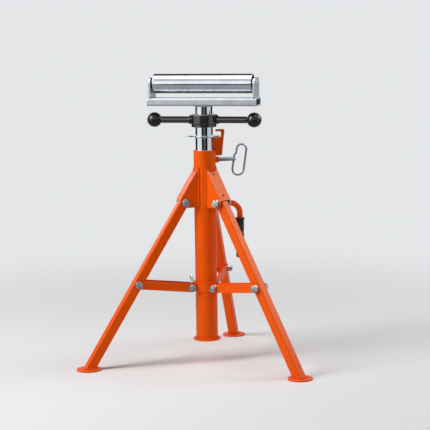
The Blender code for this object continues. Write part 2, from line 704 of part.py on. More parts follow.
def head_end(body, side, sign):
    """Upright end plate with round shoulders, bored for the axle."""
    bottom = HEAD_TOP + SEAT_GAP
    top = bottom + END_PLATE_HEIGHT
    half, c = HEAD_DEPTH / 2, END_PLATE_CORNER
    outline = [(-half, bottom), (half, bottom), *arc((half - c, top - c), c, 0, 90, 8),
               *arc((c - half, top - c), c, 90, 180, 8)]
    piece = make(f"head_end_{side}", prism(outline, sign * PLATE_INNER, sign * PLATE_OUTER, "YZ"),
                 body, CHROME)
    drill = tube(AXLE_DIAMETER + 2 * SEAT_GAP, None, -HEAD_LENGTH, HEAD_LENGTH, steps=ROUND_SMALL)
    return boolean(piece, along_x(drill, z=ROLLER_AXIS))


def roller_axle(body):
    """Fixed axle, domed over outside both end plates, with a shoulder inside each of them."""
    r, end, c = AXLE_DIAMETER / 2, PLATE_OUTER + AXLE_STANDOUT, RIM_CHAMFER
    collar = SHAFT_COLLAR_OD / 2
    shoulder = PLATE_INNER - SEAT_GAP
    cap_face = ROLLER_LENGTH / 2 - CAP_RECESS + SEAT_GAP
    half = [(collar, cap_face), (collar, shoulder), (r, shoulder), (r, end - c), (r - c, end)]
    mirrored = [(x, -z) for x, z in reversed(half)]
    profile = [(0.0, -end), *mirrored, (r, -cap_face), (r, cap_face), *half, (0.0, end)]
    shape = along_x(lathe(profile, ROUND_SMALL), z=ROLLER_AXIS)
    return make("roller_axle", shape, body, ZINC)


def roller_tube(body):
    """Turned steel shell of the roller."""
    half = ROLLER_LENGTH / 2
    shape = tube(ROLLER_OD, ROLLER_OD - 2 * ROLLER_WALL, -half, half, RIM_CHAMFER, ROUND_LARGE)
    return make("roller_tube", along_x(shape, z=ROLLER_AXIS), body, CHROME)


def roller_cap(body, side, sign):
    """Bearing cap in the end of the shell, dished round its hub."""
    outer = ROLLER_OD / 2 - ROLLER_WALL - SEAT_GAP
    bore = AXLE_DIAMETER / 2 + SLIDE_CLEARANCE
    face = ROLLER_LENGTH / 2 - CAP_RECESS
    back = face - CAP_THICKNESS
    dish = face - CAP_RECESS
    hub, lip = CAP_HUB_OD / 2, outer - ROLLER_WALL
    profile = [(bore, back), (outer, back), (outer, face), (lip, face), (lip - CAP_RECESS / 2, dish),
               (hub + CAP_RECESS / 2, dish), (hub, face), (bore, face)]
    profile = [(r, sign * z) for r, z in profile]
    shape = along_x(lathe(profile, ROUND_MEDIUM), z=ROLLER_AXIS)
    return make(f"roller_cap_{side}", shape, body, BLACK)


# Lock pin

def bail_frame():
    """Frame of the bail: on the pin's cross hole, Z along the hole."""
    return (spoke(PIN_AZIMUTH, PIN_OUTER_END - BAIL_EDGE_DISTANCE, PIN_HEIGHT)
            @ Matrix.Rotation(math.radians(BAIL_TILT), 4, "Y"))


def lock_pin(body):
    """Round pin drawn back to just clear of the post, cross-drilled near its outer end."""
    tip = POST_RADIUS + SLIDE_CLEARANCE * 2
    r, bevel, rim = PIN_DIAMETER / 2, PIN_TIP_BEVEL, RIM_CHAMFER
    profile = [(0.0, tip), (r - bevel, tip), (r, tip + bevel * 2), (r, PIN_OUTER_END - rim),
               (r - rim, PIN_OUTER_END), (0.0, PIN_OUTER_END)]
    shape = along_x(lathe(profile, ROUND_SMALL), z=PIN_HEIGHT)
    piece = make("lock_pin", shape, body, ZINC, spoke(PIN_AZIMUTH))
    drill = tube(BAIL_WIRE + 2 * SLIDE_CLEARANCE, None, -PIN_DIAMETER, PIN_DIAMETER, steps=12)
    return boolean(piece, drill, frame=bail_frame())


def pin_bail(body):
    """Bent wire loop whose two ends meet inside the pin's cross hole, one of them set off."""
    low = (BAIL_WIDTH - BAIL_WIRE) / 2
    high = low - BAIL_KINK / 2
    reach = (BAIL_HEIGHT - BAIL_WIRE) / 2
    route = [(0.0, BAIL_END_GAP / 2), (0.0, BAIL_KINK_START),
             (BAIL_KINK, BAIL_KINK_START + BAIL_KINK_RUN),
             *arc((BAIL_KINK + high, reach - high), high, 180, 0, 10),
             *arc((low, low - reach), low, 0, -180, 10), (0.0, -BAIL_END_GAP / 2)]
    shape = swept_bar(route, BAIL_WIRE, ROUND_WIRE)
    return make("pin_bail", shape, body, ZINC, bail_frame(), smooth=60.0)


# Collar

def collar_ring(body):
    """Sliding ring with three pairs of ears and a threaded boss for the wing screw."""
    low, high = COLLAR_HEIGHT - COLLAR_LENGTH / 2, COLLAR_HEIGHT + COLLAR_LENGTH / 2
    piece = make("collar_ring", tube(COLLAR_OD, None, low, high, RIM_CHAMFER), body, ORANGE)
    for azimuth in LEG_AZIMUTHS.values():
        boolean(piece, collar_ear_pair(), "UNION", spoke(azimuth))
    boss_start = COLLAR_OD / 2 - COLLAR_WALL
    boss = tube(WING_BOSS_OD, None, boss_start, COLLAR_OD / 2 + WING_BOSS_LENGTH, RIM_CHAMFER, ROUND_SMALL)
    boolean(piece, along_x(boss, z=COLLAR_HEIGHT), "UNION", spoke(WING_AZIMUTH))
    boolean(piece, tube(COLLAR_BORE, None, low - COLLAR_WALL, high + COLLAR_WALL))
    thread = tube(WING_SCREW_DIAMETER + 2 * BOLT_CLEARANCE, None, 0.0, COLLAR_OD, steps=ROUND_SMALL)
    boolean(piece, along_x(thread, z=COLLAR_HEIGHT), frame=spoke(WING_AZIMUTH))
    drills = [moved(along_y(tube(BOLT_HOLE, None, -LEG_SIZE, LEG_SIZE, steps=ROUND_SMALL),
                            COLLAR_EAR_RADIUS, COLLAR_PIVOT_HEIGHT), spoke(azimuth))
              for azimuth in LEG_AZIMUTHS.values()]
    return boolean(piece, joined(*drills))


def collar_ear_pair():
    """Two round-ended ears side by side, as far apart as the leg is wide."""
    r = COLLAR_EAR_ROUND
    start = math.sqrt((COLLAR_OD / 2) ** 2 - LEG_HALF ** 2) - COLLAR_WALL / 2
    outline = [(start, COLLAR_PIVOT_HEIGHT - r),
               *arc((COLLAR_EAR_RADIUS, COLLAR_PIVOT_HEIGHT), r, -90, 90, 6),
               (start, COLLAR_PIVOT_HEIGHT + r)]
    inner = LEG_HALF - COLLAR_EAR_SHEET
    return joined(prism(outline, inner, LEG_HALF), prism(outline, -LEG_HALF, -inner))


def wing_screw(body):
    """Clamp screw with a hub and two raised wings."""
    tip = COLUMN_RADIUS + SLIDE_CLEARANCE
    hub_start = COLLAR_OD / 2 + WING_BOSS_LENGTH + WING_STANDOFF
    hub_end = hub_start + WING_HUB_LENGTH
    r, hub, face = WING_SCREW_DIAMETER / 2, WING_HUB_OD / 2, WING_HUB_FACE / 2
    profile = [(0.0, tip), (r - RIM_CHAMFER, tip), (r, tip + RIM_CHAMFER), (r, hub_start),
               (hub, hub_start), (face + RIM_CHAMFER, hub_end - RIM_CHAMFER), (face, hub_end),
               (0.0, hub_end)]
    frame = spoke(WING_AZIMUTH)
    shape = along_x(lathe(profile, ROUND_SMALL), z=COLLAR_HEIGHT)
    piece = make("wing_screw", shape, body, CHROME, frame)
    root = hub_start + SEAT_GAP
    tip_centre = (hub_end + WING_SWEEP - WING_TIP_ROUND, WING_SPAN / 2 - WING_TIP_ROUND)
    for sign in (1.0, -1.0):
        outline = [(root, 0.0), (hub_end - 2 * RIM_CHAMFER, 0.0),
                   *arc(tip_centre, WING_TIP_ROUND, -20, 170, 7), (root + WING_ROOT_RISE, hub)]
        outline = [(x, COLLAR_HEIGHT + sign * z) for x, z in outline]
        wing = prism(outline, -WING_THICKNESS / 2, WING_THICKNESS / 2)
        boolean(piece, wing, "UNION", frame)
    return piece


# Legs and links

def leg_frame(azimuth):
    """Frame of an open leg: origin on its pivot, X out of its face and Z up its length."""
    return (spoke(azimuth, PIVOT_RADIUS, PIVOT_HEIGHT)
            @ Matrix.Rotation(-LEG_RADIANS, 4, "Y"))


def leg(body, letter, azimuth):
    """Square tube: round at the pivot, cut level at the foot."""
    length = (PIVOT_HEIGHT - FLOOR) / math.cos(LEG_RADIANS) + LEG_SIZE
    frame = leg_frame(azimuth)
    outer = rounded_box_outline(LEG_SIZE, LEG_SIZE, LEG_CORNER, 2)
    inner_size = LEG_SIZE - 2 * LEG_WALL
    inner = rounded_box_outline(inner_size, inner_size, LEG_CORNER - LEG_WALL / 2, 1)
    piece = make(f"leg_{letter}", prism(outer, -length, LEG_HALF, "XY"), body, ORANGE, frame)
    boolean(piece, prism(inner, -length - LEG_HALF, LEG_SIZE, "XY"), frame=frame)
    half = LEG_HALF
    crown = arc((0.0, 0.0), half + SEAT_GAP / 3, 0, 180, 10)
    waste = [(LEG_SIZE, 0.0), (LEG_SIZE, LEG_SIZE), (-LEG_SIZE, LEG_SIZE), (-LEG_SIZE, 0.0),
             *reversed(crown)]
    boolean(piece, prism(waste, -LEG_SIZE, LEG_SIZE), frame=frame)
    below = FOOT_TOP + SEAT_GAP
    ground = box((4 * LEG_SIZE, 4 * LEG_SIZE, 4 * LEG_SIZE),
                 (FOOT_RADIUS_OUT, 0.0, below - 2 * LEG_SIZE))
    boolean(piece, ground, frame=spoke(azimuth))
    for drop in (0.0, LEG_TO_LINK):
        drill = along_y(tube(leg_hole(drop), None, -LEG_SIZE, LEG_SIZE, steps=ROUND_SMALL), z=-drop)
        boolean(piece, drill, frame=frame)
    return piece


def leg_hole(drop):
    """Hole at the pivot fits the bolt; the one at the link fits the bush."""
    return BOLT_HOLE if drop == 0.0 else BOLT_DIAMETER + 2 * BUSH_WALL + 2 * SEAT_GAP


def foot(body, letter, azimuth):
    """Round pad welded under the leg, flat on the floor."""
    r, c = FOOT_DIAMETER / 2, RIM_CHAMFER
    profile = [(0.0, FLOOR), (r - c, FLOOR), (r, FLOOR + c), (r, FOOT_TOP - c), (r - c, FOOT_TOP),
               (0.0, FOOT_TOP)]
    return make(f"foot_{letter}", lathe(profile, ROUND_MEDIUM), body, ORANGE,
                spoke(azimuth, FOOT_RADIUS_OUT))


def leg_bush(body, letter, azimuth):
    """Bush through both walls of the leg, in which the link's bolt turns."""
    shape = tube(BOLT_DIAMETER + 2 * BUSH_WALL, BOLT_HOLE, -LEG_HALF, LEG_HALF, steps=ROUND_SMALL)
    return make(f"leg_bush_{letter}", along_y(shape, z=-LEG_TO_LINK), body, ZINC, leg_frame(azimuth))


def link_frame(azimuth):
    """Frame of a link: origin on its collar pivot and X along it to the leg."""
    return (spoke(azimuth, COLLAR_EAR_RADIUS, COLLAR_PIVOT_HEIGHT)
            @ Matrix.Rotation(-LINK_RADIANS, 4, "Y"))


def link(body, letter, azimuth):
    """Folded channel, open at the top: two round-ended cheeks with a short web below."""
    half = LINK_HEIGHT / 2
    frame = link_frame(azimuth)
    outline = arc((LINK_LENGTH, 0.0), half, -90, 90, 8) + arc((0.0, 0.0), half, 90, 270, 8)
    piece = make(f"link_{letter}", prism(outline, -CHEEK_OUTER, CHEEK_OUTER), body, ORANGE, frame)
    slot, floor_z = 2 * LINK_HEIGHT, LINK_SHEET - half
    room = [(-slot, -slot), (LINK_WEB_START, -slot), (LINK_WEB_START, floor_z), (LINK_WEB_END, floor_z),
            (LINK_WEB_END, -slot), (LINK_LENGTH + slot, -slot), (LINK_LENGTH + slot, slot), (-slot, slot)]
    boolean(piece, prism(room, -CHEEK_INNER, CHEEK_INNER), frame=frame)
    for x in (0.0, LINK_LENGTH):
        drill = along_y(tube(BOLT_HOLE, None, -2 * CHEEK_OUTER, 2 * CHEEK_OUTER, steps=ROUND_SMALL), x)
        boolean(piece, drill, frame=frame)
    return piece


def link_bolt_end(body, name, azimuth, sign, hex_height, standout):
    """One end of the link's outer bolt, seated in its own cheek: the head, or the nut."""
    r, wide = BOLT_DIAMETER / 2, WASHER_OD / 2
    seat = CHEEK_OUTER + SEAT_GAP
    washer = seat + WASHER_THICKNESS
    profile = [(0.0, CHEEK_INNER), (r, CHEEK_INNER), (r, seat), (wide, seat), (wide, washer)]
    if standout:
        tail = washer + hex_height + standout
        profile += [(r, washer), (r, tail), (0.0, tail)]
    else:
        profile.append((0.0, washer))
    frame = (link_frame(azimuth) @ Matrix.Translation((LINK_LENGTH, 0.0, 0.0))
             @ Matrix.Rotation(0.0 if sign > 0 else math.pi, 4, "Z"))
    piece = make(name, along_y(lathe(profile, ROUND_SMALL)), body, ZINC, frame)
    hexagonal = along_y(hexagon(BOLT_HEAD, washer - SEAT_GAP, washer + hex_height))
    return boolean(piece, hexagonal, "UNION", frame)


# Bodies, each on an empty that lies on its joint's axis

def build_column():
    body = pivot("column_body", Matrix.Identity(4))
    column_tube(body)
    column_base(body)
    for letter, azimuth in LEG_AZIMUTHS.items():
        bracket(body, letter, azimuth)
        through_bolt(body, f"pivot_bolt_{letter}", BRACKET_INSIDE / 2 + BRACKET_SHEET,
                     spoke(azimuth, PIVOT_RADIUS, PIVOT_HEIGHT))
        for side, sign in (("left", 1.0), ("right", -1.0)):
            pivot_spacer(body, letter, side, sign, azimuth)
    hook_plate(body)
    pin_bush(body)
    carry_handle(body)
    handle_grip(body)
    return body


def build_post(column):
    body = pivot("post_body", Matrix.Translation((0.0, 0.0, POST_BOTTOM)), column)
    post_tube(body)
    ear_ring(body)
    return body


def build_jack(post):
    hub = pivot("hub_body", Matrix.Translation((0.0, 0.0, HUB_BOTTOM)), post)
    nut_hub(hub)
    for side, azimuth in (("right", 0.0), ("left", 180.0)):
        turning_bar(hub, side, azimuth)
        ball_knob(hub, side, azimuth)
    screw = pivot("screw_body", Matrix.Translation((0.0, 0.0, SCREW_BOTTOM)), post)
    lift_screw(screw)
    return screw


def build_head(screw):
    body = pivot("head_body", Matrix.Translation((0.0, 0.0, HEAD_BOTTOM)), screw)
    head_sleeve(body)
    head_base(body)
    for side, sign in (("right", 1.0), ("left", -1.0)):
        head_end(body, side, sign)
    roller_axle(body)
    roller = pivot("roller_body", Matrix.Translation((0.0, 0.0, ROLLER_AXIS)), body)
    roller_tube(roller)
    for side, sign in (("right", 1.0), ("left", -1.0)):
        roller_cap(roller, side, sign)


def build_pin(column):
    body = pivot("pin_body", spoke(PIN_AZIMUTH, POST_RADIUS, PIN_HEIGHT), column)
    lock_pin(body)
    bail = pivot("bail_body", bail_frame(), body)
    pin_bail(bail)


def build_collar(column):
    body = pivot("collar_body", Matrix.Translation((0.0, 0.0, COLLAR_HEIGHT)), column)
    collar_ring(body)
    for letter, azimuth in LEG_AZIMUTHS.items():
        through_bolt(body, f"collar_bolt_{letter}", CHEEK_OUTER,
                     spoke(azimuth, COLLAR_EAR_RADIUS, COLLAR_PIVOT_HEIGHT))
    wing = pivot("wing_body", spoke(WING_AZIMUTH, COLUMN_RADIUS, COLLAR_HEIGHT), body)
    wing_screw(wing)
    return body


def build_leg(column, collar, letter, azimuth):
    body = pivot(f"leg_{letter}_body", leg_frame(azimuth), column)
    leg(body, letter, azimuth)
    foot(body, letter, azimuth)
    leg_bush(body, letter, azimuth)
    arm = pivot(f"link_{letter}_body", link_frame(azimuth), collar)
    link(arm, letter, azimuth)
    link_bolt_end(arm, f"link_bolt_{letter}", azimuth, 1.0, BOLT_HEAD_HEIGHT, 0.0)
    link_bolt_end(arm, f"link_nut_{letter}", azimuth, -1.0, NUT_HEIGHT, BOLT_STANDOUT)


clear_scene()
column_body = build_column()
post_body = build_post(column_body)
screw_body = build_jack(post_body)
build_head(screw_body)
build_pin(column_body)
collar_body = build_collar(column_body)
for leg_letter, leg_azimuth in LEG_AZIMUTHS.items():
    build_leg(column_body, collar_body, leg_letter, leg_azimuth)
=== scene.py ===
import math

import bmesh
import bpy
import numpy as np
from mathutils import Matrix, Vector


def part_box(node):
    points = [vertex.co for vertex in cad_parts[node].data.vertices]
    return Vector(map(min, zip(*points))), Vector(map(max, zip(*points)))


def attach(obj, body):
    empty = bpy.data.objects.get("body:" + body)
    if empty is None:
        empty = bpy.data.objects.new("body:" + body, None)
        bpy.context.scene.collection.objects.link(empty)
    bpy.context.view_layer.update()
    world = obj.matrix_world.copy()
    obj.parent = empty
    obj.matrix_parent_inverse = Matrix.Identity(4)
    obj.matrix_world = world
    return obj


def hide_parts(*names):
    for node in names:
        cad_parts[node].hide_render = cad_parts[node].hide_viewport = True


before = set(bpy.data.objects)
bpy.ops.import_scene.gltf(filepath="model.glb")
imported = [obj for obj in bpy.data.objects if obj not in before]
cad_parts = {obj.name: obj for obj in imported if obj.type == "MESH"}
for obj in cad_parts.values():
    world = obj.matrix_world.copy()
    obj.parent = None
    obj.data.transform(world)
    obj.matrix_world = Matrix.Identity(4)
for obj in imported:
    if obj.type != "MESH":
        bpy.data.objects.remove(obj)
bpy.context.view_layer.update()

# Camera
# Long lens a little to the right of the stand and above its middle, with a slight roll. The
# figures were fitted to the feet, bolts, knobs and roller.

VIEW_AZIMUTH = math.radians(13.4)
VIEW_ELEVATION = math.radians(7.9)
VIEW_DISTANCE = 4.0
VIEW_ROLL = math.radians(0.8)
FOCAL_PIXELS = 1539.0
FRAME_PIXELS = 430.0
AIM_RIGHT = 0.0250
AIM_HEIGHT = 0.3280


def new_object(name, data):
    """Object with its data, linked to the scene."""
    thing = bpy.data.objects.new(name, data)
    bpy.context.scene.collection.objects.link(thing)
    return thing


up = Vector((0.0, 0.0, 1.0))
right = Vector((math.cos(VIEW_AZIMUTH), math.sin(VIEW_AZIMUTH), 0.0))
forward = up.cross(right)
lens = bpy.data.cameras.new("camera")
lens.sensor_width = 36.0
lens.lens = lens.sensor_width * FOCAL_PIXELS / FRAME_PIXELS
lens.clip_end = 60.0
camera = new_object("camera", lens)
turn = (Matrix.Rotation(VIEW_AZIMUTH, 4, "Z") @ Matrix.Rotation(math.pi / 2 - VIEW_ELEVATION, 4, "X")
        @ Matrix.Rotation(-VIEW_ROLL, 4, "Z"))
aim = Matrix.Translation(right * AIM_RIGHT + up * AIM_HEIGHT)
camera.matrix_world = aim @ turn @ Matrix.Translation((0.0, 0.0, VIEW_DISTANCE))
bpy.context.scene.camera = camera

# Room: pale floor, pale surroundings, soft lamps, and cards that only gloss can see
# The cards give bright plating the dark and light bands that a studio gives it.


def linear(code):
    """sRGB hex code to linear red, green, blue and an opaque alpha."""
    part = np.array([int(code[i:i + 2], 16) for i in (0, 2, 4)]) / 255.0
    curve = np.where(part <= 0.04045, part / 12.92, ((part + 0.055) / 1.055) ** 2.4)
    return (*curve.tolist(), 1.0)


def add_node(tree, kind, settings=None, links=None):
    """One shader node: settings go to properties or sockets, and links to sockets, by name or
    number. A node given as a link stands for its first output."""
    node = tree.nodes.new("ShaderNode" + kind)
    for key, value in (settings or {}).items():
        if isinstance(key, str) and hasattr(node, key):
            setattr(node, key, value)
        else:
            node.inputs[key].default_value = value
    for key, source in (links or {}).items():
        socket = source.outputs[0] if isinstance(source, bpy.types.Node) else source
        tree.links.new(socket, node.inputs[key])
    return node


def blank_material(name):
    """New material with an empty node tree."""
    material = bpy.data.materials.new(name)
    material.use_nodes = True
    material.node_tree.nodes.clear()
    return material, material.node_tree


def room_sheet(name, centre, across, rise, material):
    """Flat sheet of the room, from its middle and its two half sides."""
    mesh = bpy.data.meshes.new(name)
    corners = [centre + across * i + rise * j for i, j in ((-1, -1), (1, -1), (1, 1), (-1, 1))]
    mesh.from_pydata([tuple(corner) for corner in corners], [], [(0, 1, 2, 3)])
    mesh.materials.append(material)
    sheet = new_object(name, mesh)
    return sheet


def seen_ray(tree):
    """Node that is 1 for rays from the eye, through clear things and off gloss, and else 0."""
    rays = add_node(tree, "LightPath").outputs
    clear = add_node(tree, "Math", {"operation": "MAXIMUM"},
                     {0: rays["Is Camera Ray"], 1: rays["Is Transmission Ray"]})
    return add_node(tree, "Math", {"operation": "MAXIMUM"}, {0: clear, 1: rays["Is Glossy Ray"]})


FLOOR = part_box("foot_a")[0].z
FLOOR_HALF = 30.0
SHADOW_FADE = (0.45, 1.9)
PALE = "E4E6E8"
WORLD_FILL = 0.07
floor_paint, tree = blank_material("pale_floor_paint")
place = add_node(tree, "TexCoord").outputs["Object"]
flat = add_node(tree, "VectorMath", {"operation": "MULTIPLY", 1: (1.0, 1.0, 0.0)}, {0: place})
away = add_node(tree, "VectorMath", {"operation": "LENGTH"}, {0: flat})
far = add_node(tree, "MapRange",
               {"interpolation_type": "SMOOTHSTEP", "From Min": SHADOW_FADE[0], "From Max": SHADOW_FADE[1]},
               {"Value": away.outputs["Value"]})
blank = add_node(tree, "Math", {"operation": "MULTIPLY"}, {0: far, 1: seen_ray(tree)})
near_floor = add_node(tree, "BsdfDiffuse", {"Color": linear("E8E8E8")})
far_floor = add_node(tree, "Emission", {"Color": linear(PALE)})
blend = add_node(tree, "MixShader", links={0: blank, 1: near_floor, 2: far_floor})
add_node(tree, "OutputMaterial", links={"Surface": blend})
room_sheet("floor", up * FLOOR, Vector((FLOOR_HALF, 0.0, 0.0)), Vector((0.0, FLOOR_HALF, 0.0)), floor_paint)

world = bpy.data.worlds.new("pale_room")
bpy.context.scene.world = world
world.use_nodes = True
tree = world.node_tree
tree.nodes.clear()
pale = add_node(tree, "Background", {"Color": linear(PALE)})
fill = add_node(tree, "Background", {"Color": linear("DADCDF"), "Strength": WORLD_FILL})
mixed = add_node(tree, "MixShader", links={0: seen_ray(tree), 1: fill, 2: pale})
add_node(tree, "OutputWorld", links={"Surface": mixed})

MIDDLE = up * 0.35


def bearing(azimuth, elevation, distance):
    """Point at an azimuth from the camera's side, an elevation and a distance from the middle."""
    turn = VIEW_AZIMUTH + math.radians(azimuth)
    rise = math.radians(elevation)
    flat = Vector((math.sin(turn), -math.cos(turn), 0.0))
    return MIDDLE + (flat * math.cos(rise) + up * math.sin(rise)) * distance


for name, azimuth, elevation, distance, size, power in (
        ("key_lamp", -66, 32, 3.0, (1.1, 2.0), 72.0),
        ("side_lamp", 100, 33, 3.0, (1.6, 1.3), 34.0),
        ("back_lamp", -149, 19, 3.2, (1.3, 0.8), 5.0),
        ("top_lamp", 0, 84, 2.6, (2.2, 1.4), 31.0)):
    data = bpy.data.lights.new(name, "AREA")
    data.shape = "RECTANGLE"
    data.size, data.size_y = size
    data.energy = power
    lamp = new_object(name, data)
    place = bearing(azimuth, elevation, distance)
    aim = (place - MIDDLE).to_track_quat("Z", "Y").to_matrix().to_4x4()
    lamp.matrix_world = Matrix.Translation(place) @ aim


def gloss_card(name, centre, across, rise, colour, level=1.0):
    """Flat card that only gloss can see, as a studio's white and black boards are."""
    material, tree = blank_material(name)
    glow = add_node(tree, "Emission", {"Color": linear(colour), "Strength": level})
    add_node(tree, "OutputMaterial", links={"Surface": glow})
    card = room_sheet(name, centre, across, rise, material)
    for ray in ("camera", "diffuse", "transmission", "volume_scatter", "shadow"):
        setattr(card, f"visible_{ray}", False)


CARD_OUT = 2.4
CARD_LOW = FLOOR + 0.008
CARD_HIGH = 0.58
SLOT_LOW = 0.21
SLOT_HIGH = 0.50
for name, start, end, low, high, colour, level in (
        ("left_slot_card", -32, -8, SLOT_LOW, SLOT_HIGH, "060709", 1.0),
        ("left_sill_card", -32, -8, CARD_LOW, SLOT_LOW, "8C8E98", 1.0),
        ("left_lintel_card", -32, -8, SLOT_HIGH, CARD_HIGH, "8C8E98", 1.0),
        ("roller_card", -42, -10, 0.70, 1.90, "FFFFFF", 1.35),
        ("middle_card", -8, 15, CARD_LOW, CARD_HIGH, "62646B", 1.0),
        ("right_slot_card", 15, 42, CARD_LOW, CARD_HIGH, "08090C", 1.0),
        ("left_white_card", -92, -44, CARD_LOW, CARD_HIGH, "FFFFFF", 1.0),
        ("right_white_card", 48, 90, CARD_LOW, CARD_HIGH, "DADCE4", 1.0),
        ("left_edge_card", -152, -103, CARD_LOW, CARD_HIGH, "08090C", 1.0),
        ("right_edge_card", 103, 152, CARD_LOW, CARD_HIGH, "0C0D10", 1.0)):
    half = math.radians(end - start) / 2
    centre = bearing((start + end) / 2, 0.0, CARD_OUT)
    across = up.cross(centre - MIDDLE).normalized() * (CARD_OUT * math.tan(half))
    centre.z = (low + high) / 2
    gloss_card(name, centre, across, up * (high - low) / 2, colour, level)

# Dark board high up behind, for the dark line along the roller's top.
centre = bearing(180, 52, 2.2)
face = (centre - MIDDLE).normalized()
across = up.cross(face).normalized()
gloss_card("high_card", centre, across * 1.6, face.cross(across) * 0.62, "08090C")
gloss_card("floor_card", up * CARD_LOW, right * 2.3, forward * 2.3, "A6A8B0")

# Column tube and foot plate: welded steel tube under orange powder coat
# The coat is baked from powder, so it is smooth with a faint orange peel and a soft gloss; shade is
# painted a little darker into its corners. The tube is turned square at the rim and drilled for the pin.


def paint_finish(name, colour, shade, corner, gloss):
    """Baked powder coat: slow drift of tone, orange peel of about 2 mm, and painted shade in corners."""
    material, tree = blank_material(name)
    place = add_node(tree, "TexCoord").outputs["Object"]
    drift = add_node(tree, "TexNoise", {"Scale": 1.0 / 0.045, "Detail": 3.0}, {"Vector": place})
    tone = add_node(tree, "Mix", {"data_type": "RGBA", 6: linear(colour), 7: linear(shade)}, {0: drift})
    # Painted shade: ambient occlusion blends the corner colour into corners and recesses.
    nook = add_node(tree, "AmbientOcclusion", {"samples": 6, "Distance": 0.009})
    depth = add_node(tree, "MapRange", {"From Min": 0.15, "From Max": 0.75, "To Min": 0.75, "To Max": 0.0},
                     {"Value": nook.outputs["AO"]})
    painted_corner_shade = add_node(tree, "Mix", {"data_type": "RGBA", 7: linear(corner)}, {0: depth, 6: tone.outputs[2]})
    peel = add_node(tree, "TexNoise", {"Scale": 1.0 / 0.0022, "Detail": 1.5}, {"Vector": place})
    speck = add_node(tree, "TexNoise", {"Scale": 1.0 / 0.0005, "Detail": 1.0}, {"Vector": place})
    relief = add_node(tree, "Math", {"operation": "MULTIPLY_ADD", 1: 0.15}, {0: speck, 2: peel})
    bump = add_node(tree, "Bump", {"Distance": 0.00003}, {"Height": relief})
    rough = add_node(tree, "MapRange", {"To Min": gloss[0], "To Max": gloss[1]}, {"Value": drift})
    shader = add_node(tree, "BsdfPrincipled",
                      {"IOR": 1.48, "Specular IOR Level": 0.36, "Specular Tint": linear("FFC48C")},
                      {"Base Color": painted_corner_shade.outputs[2], "Roughness": rough, "Normal": bump})
    add_node(tree, "OutputMaterial", links={"Surface": shader})
    return material


# The third colour, 8C2200, is the painted corner shade.
orange_coat = (paint_finish("orange_powder_coat", "FB6000", "F25200", "8C2200", (0.26, 0.36)),
               "orange_paint")

RIM = 0.0008
FINE = 0.0004
ALONG_X = Matrix.Rotation(math.pi / 2, 4, "Y")


def spoke(azimuth, radius=0.0, height=0.0):
    """Frame of a spoke: X outwards at an azimuth in degrees, Z up, from a radius and a height."""
    return (Matrix.Rotation(math.radians(azimuth), 4, "Z")
            @ Matrix.Translation((radius, 0.0, height)))


def soften(outline, radius, steps=4, closed=True):
    """Outline whose corners are quadratic curves (1-t)^2 a + 2t(1-t) corner + t^2 b, where a and b
    lie a radius from the corner, or at most halfway to the next one."""
    corner = np.asarray(outline, float)
    size = np.broadcast_to(np.asarray(radius, float), len(corner)).copy()
    if not closed:
        size[[0, -1]] = 0.0
    back = np.roll(corner, 1, 0) - corner
    ahead = np.roll(corner, -1, 0) - corner
    span_back = np.linalg.norm(back, axis=1)
    span_ahead = np.linalg.norm(ahead, axis=1)
    a = corner + back * np.minimum(size / np.maximum(span_back, 1e-9), 0.49)[:, None]
    b = corner + ahead * np.minimum(size / np.maximum(span_ahead, 1e-9), 0.49)[:, None]
    t = np.linspace(0.0, 1.0, steps + 1)[None, :, None]
    curve = (1 - t) ** 2 * a[:, None] + 2 * t * (1 - t) * corner[:, None] + t ** 2 * b[:, None]
    return curve.reshape(-1, corner.shape[1])


def surface(points, wrap_rows, wrap_columns):
    """Quads over a grid of points in rows and columns, joined round where it wraps."""
    rows, columns = points.shape[:2]
    r = np.arange(rows if wrap_rows else rows - 1)[:, None]
    c = np.arange(columns if wrap_columns else columns - 1)[None, :]
    r1, c1 = (r + 1) % rows, (c + 1) % columns
    quads = np.stack(np.broadcast_arrays(r * columns + c, r1 * columns + c,
                                         r1 * columns + c1, r * columns + c1), -1)
    return points.reshape(-1, 3), quads.reshape(-1, 4).tolist()


def once_round(steps):
    """Angles of one round, as a column."""
    return np.linspace(0.0, math.tau, steps, endpoint=False)[:, None]


def about_z(r, h, closed):
    """Surface of the points (r cos a, r sin a, h), where a goes once round with the rows of r."""
    a = once_round(len(r))
    return surface(np.stack(np.broadcast_arrays(r * np.cos(a), r * np.sin(a), h), -1), True, closed)


def turned(profile, steps=96, closed=True):
    """Surface of revolution: profile points (radius r, height h) become (r cos a, r sin a, h) for a
    round the Z axis. An open profile starts and ends on the axis."""
    r, h = np.asarray(profile, float).T
    return about_z(np.tile(r, (steps, 1)), h, closed)


def pipe(outer, inner, low, high, rounds=RIM, steps=96, curve=4):
    """Pipe along Z between two heights. The rounds are those of the outer low, outer high, inner
    high and inner low edges."""
    wall = [(outer, low), (outer, high), (inner, high), (inner, low)]
    return turned(soften(wall, rounds, curve), steps)


def lathed(profile, rounds, steps=48, curve=4):
    """Solid turned from an open profile that starts and ends on the axis."""
    return turned(soften(profile, rounds, curve, closed=False), steps, closed=False)


def round_bar(radius, low, high, steps=32):
    """Plain round bar along Z, or the drill for such a hole."""
    return turned([(0.0, low), (radius, low), (radius, high), (0.0, high)], steps, closed=False)


def placed(matrix, *shapes):
    """The shapes, each its points and faces, after a transform."""
    turn = np.array(matrix)
    return [(points @ turn[:3, :3].T + turn[:3, 3], faces) for points, faces in shapes]


def shade_by_angle(mesh, degrees=32.0):
    """Smooth shading with the edges sharper than an angle left crisp."""
    mesh.shade_smooth()
    mesh.set_sharp_from_angle(angle=math.radians(degrees))


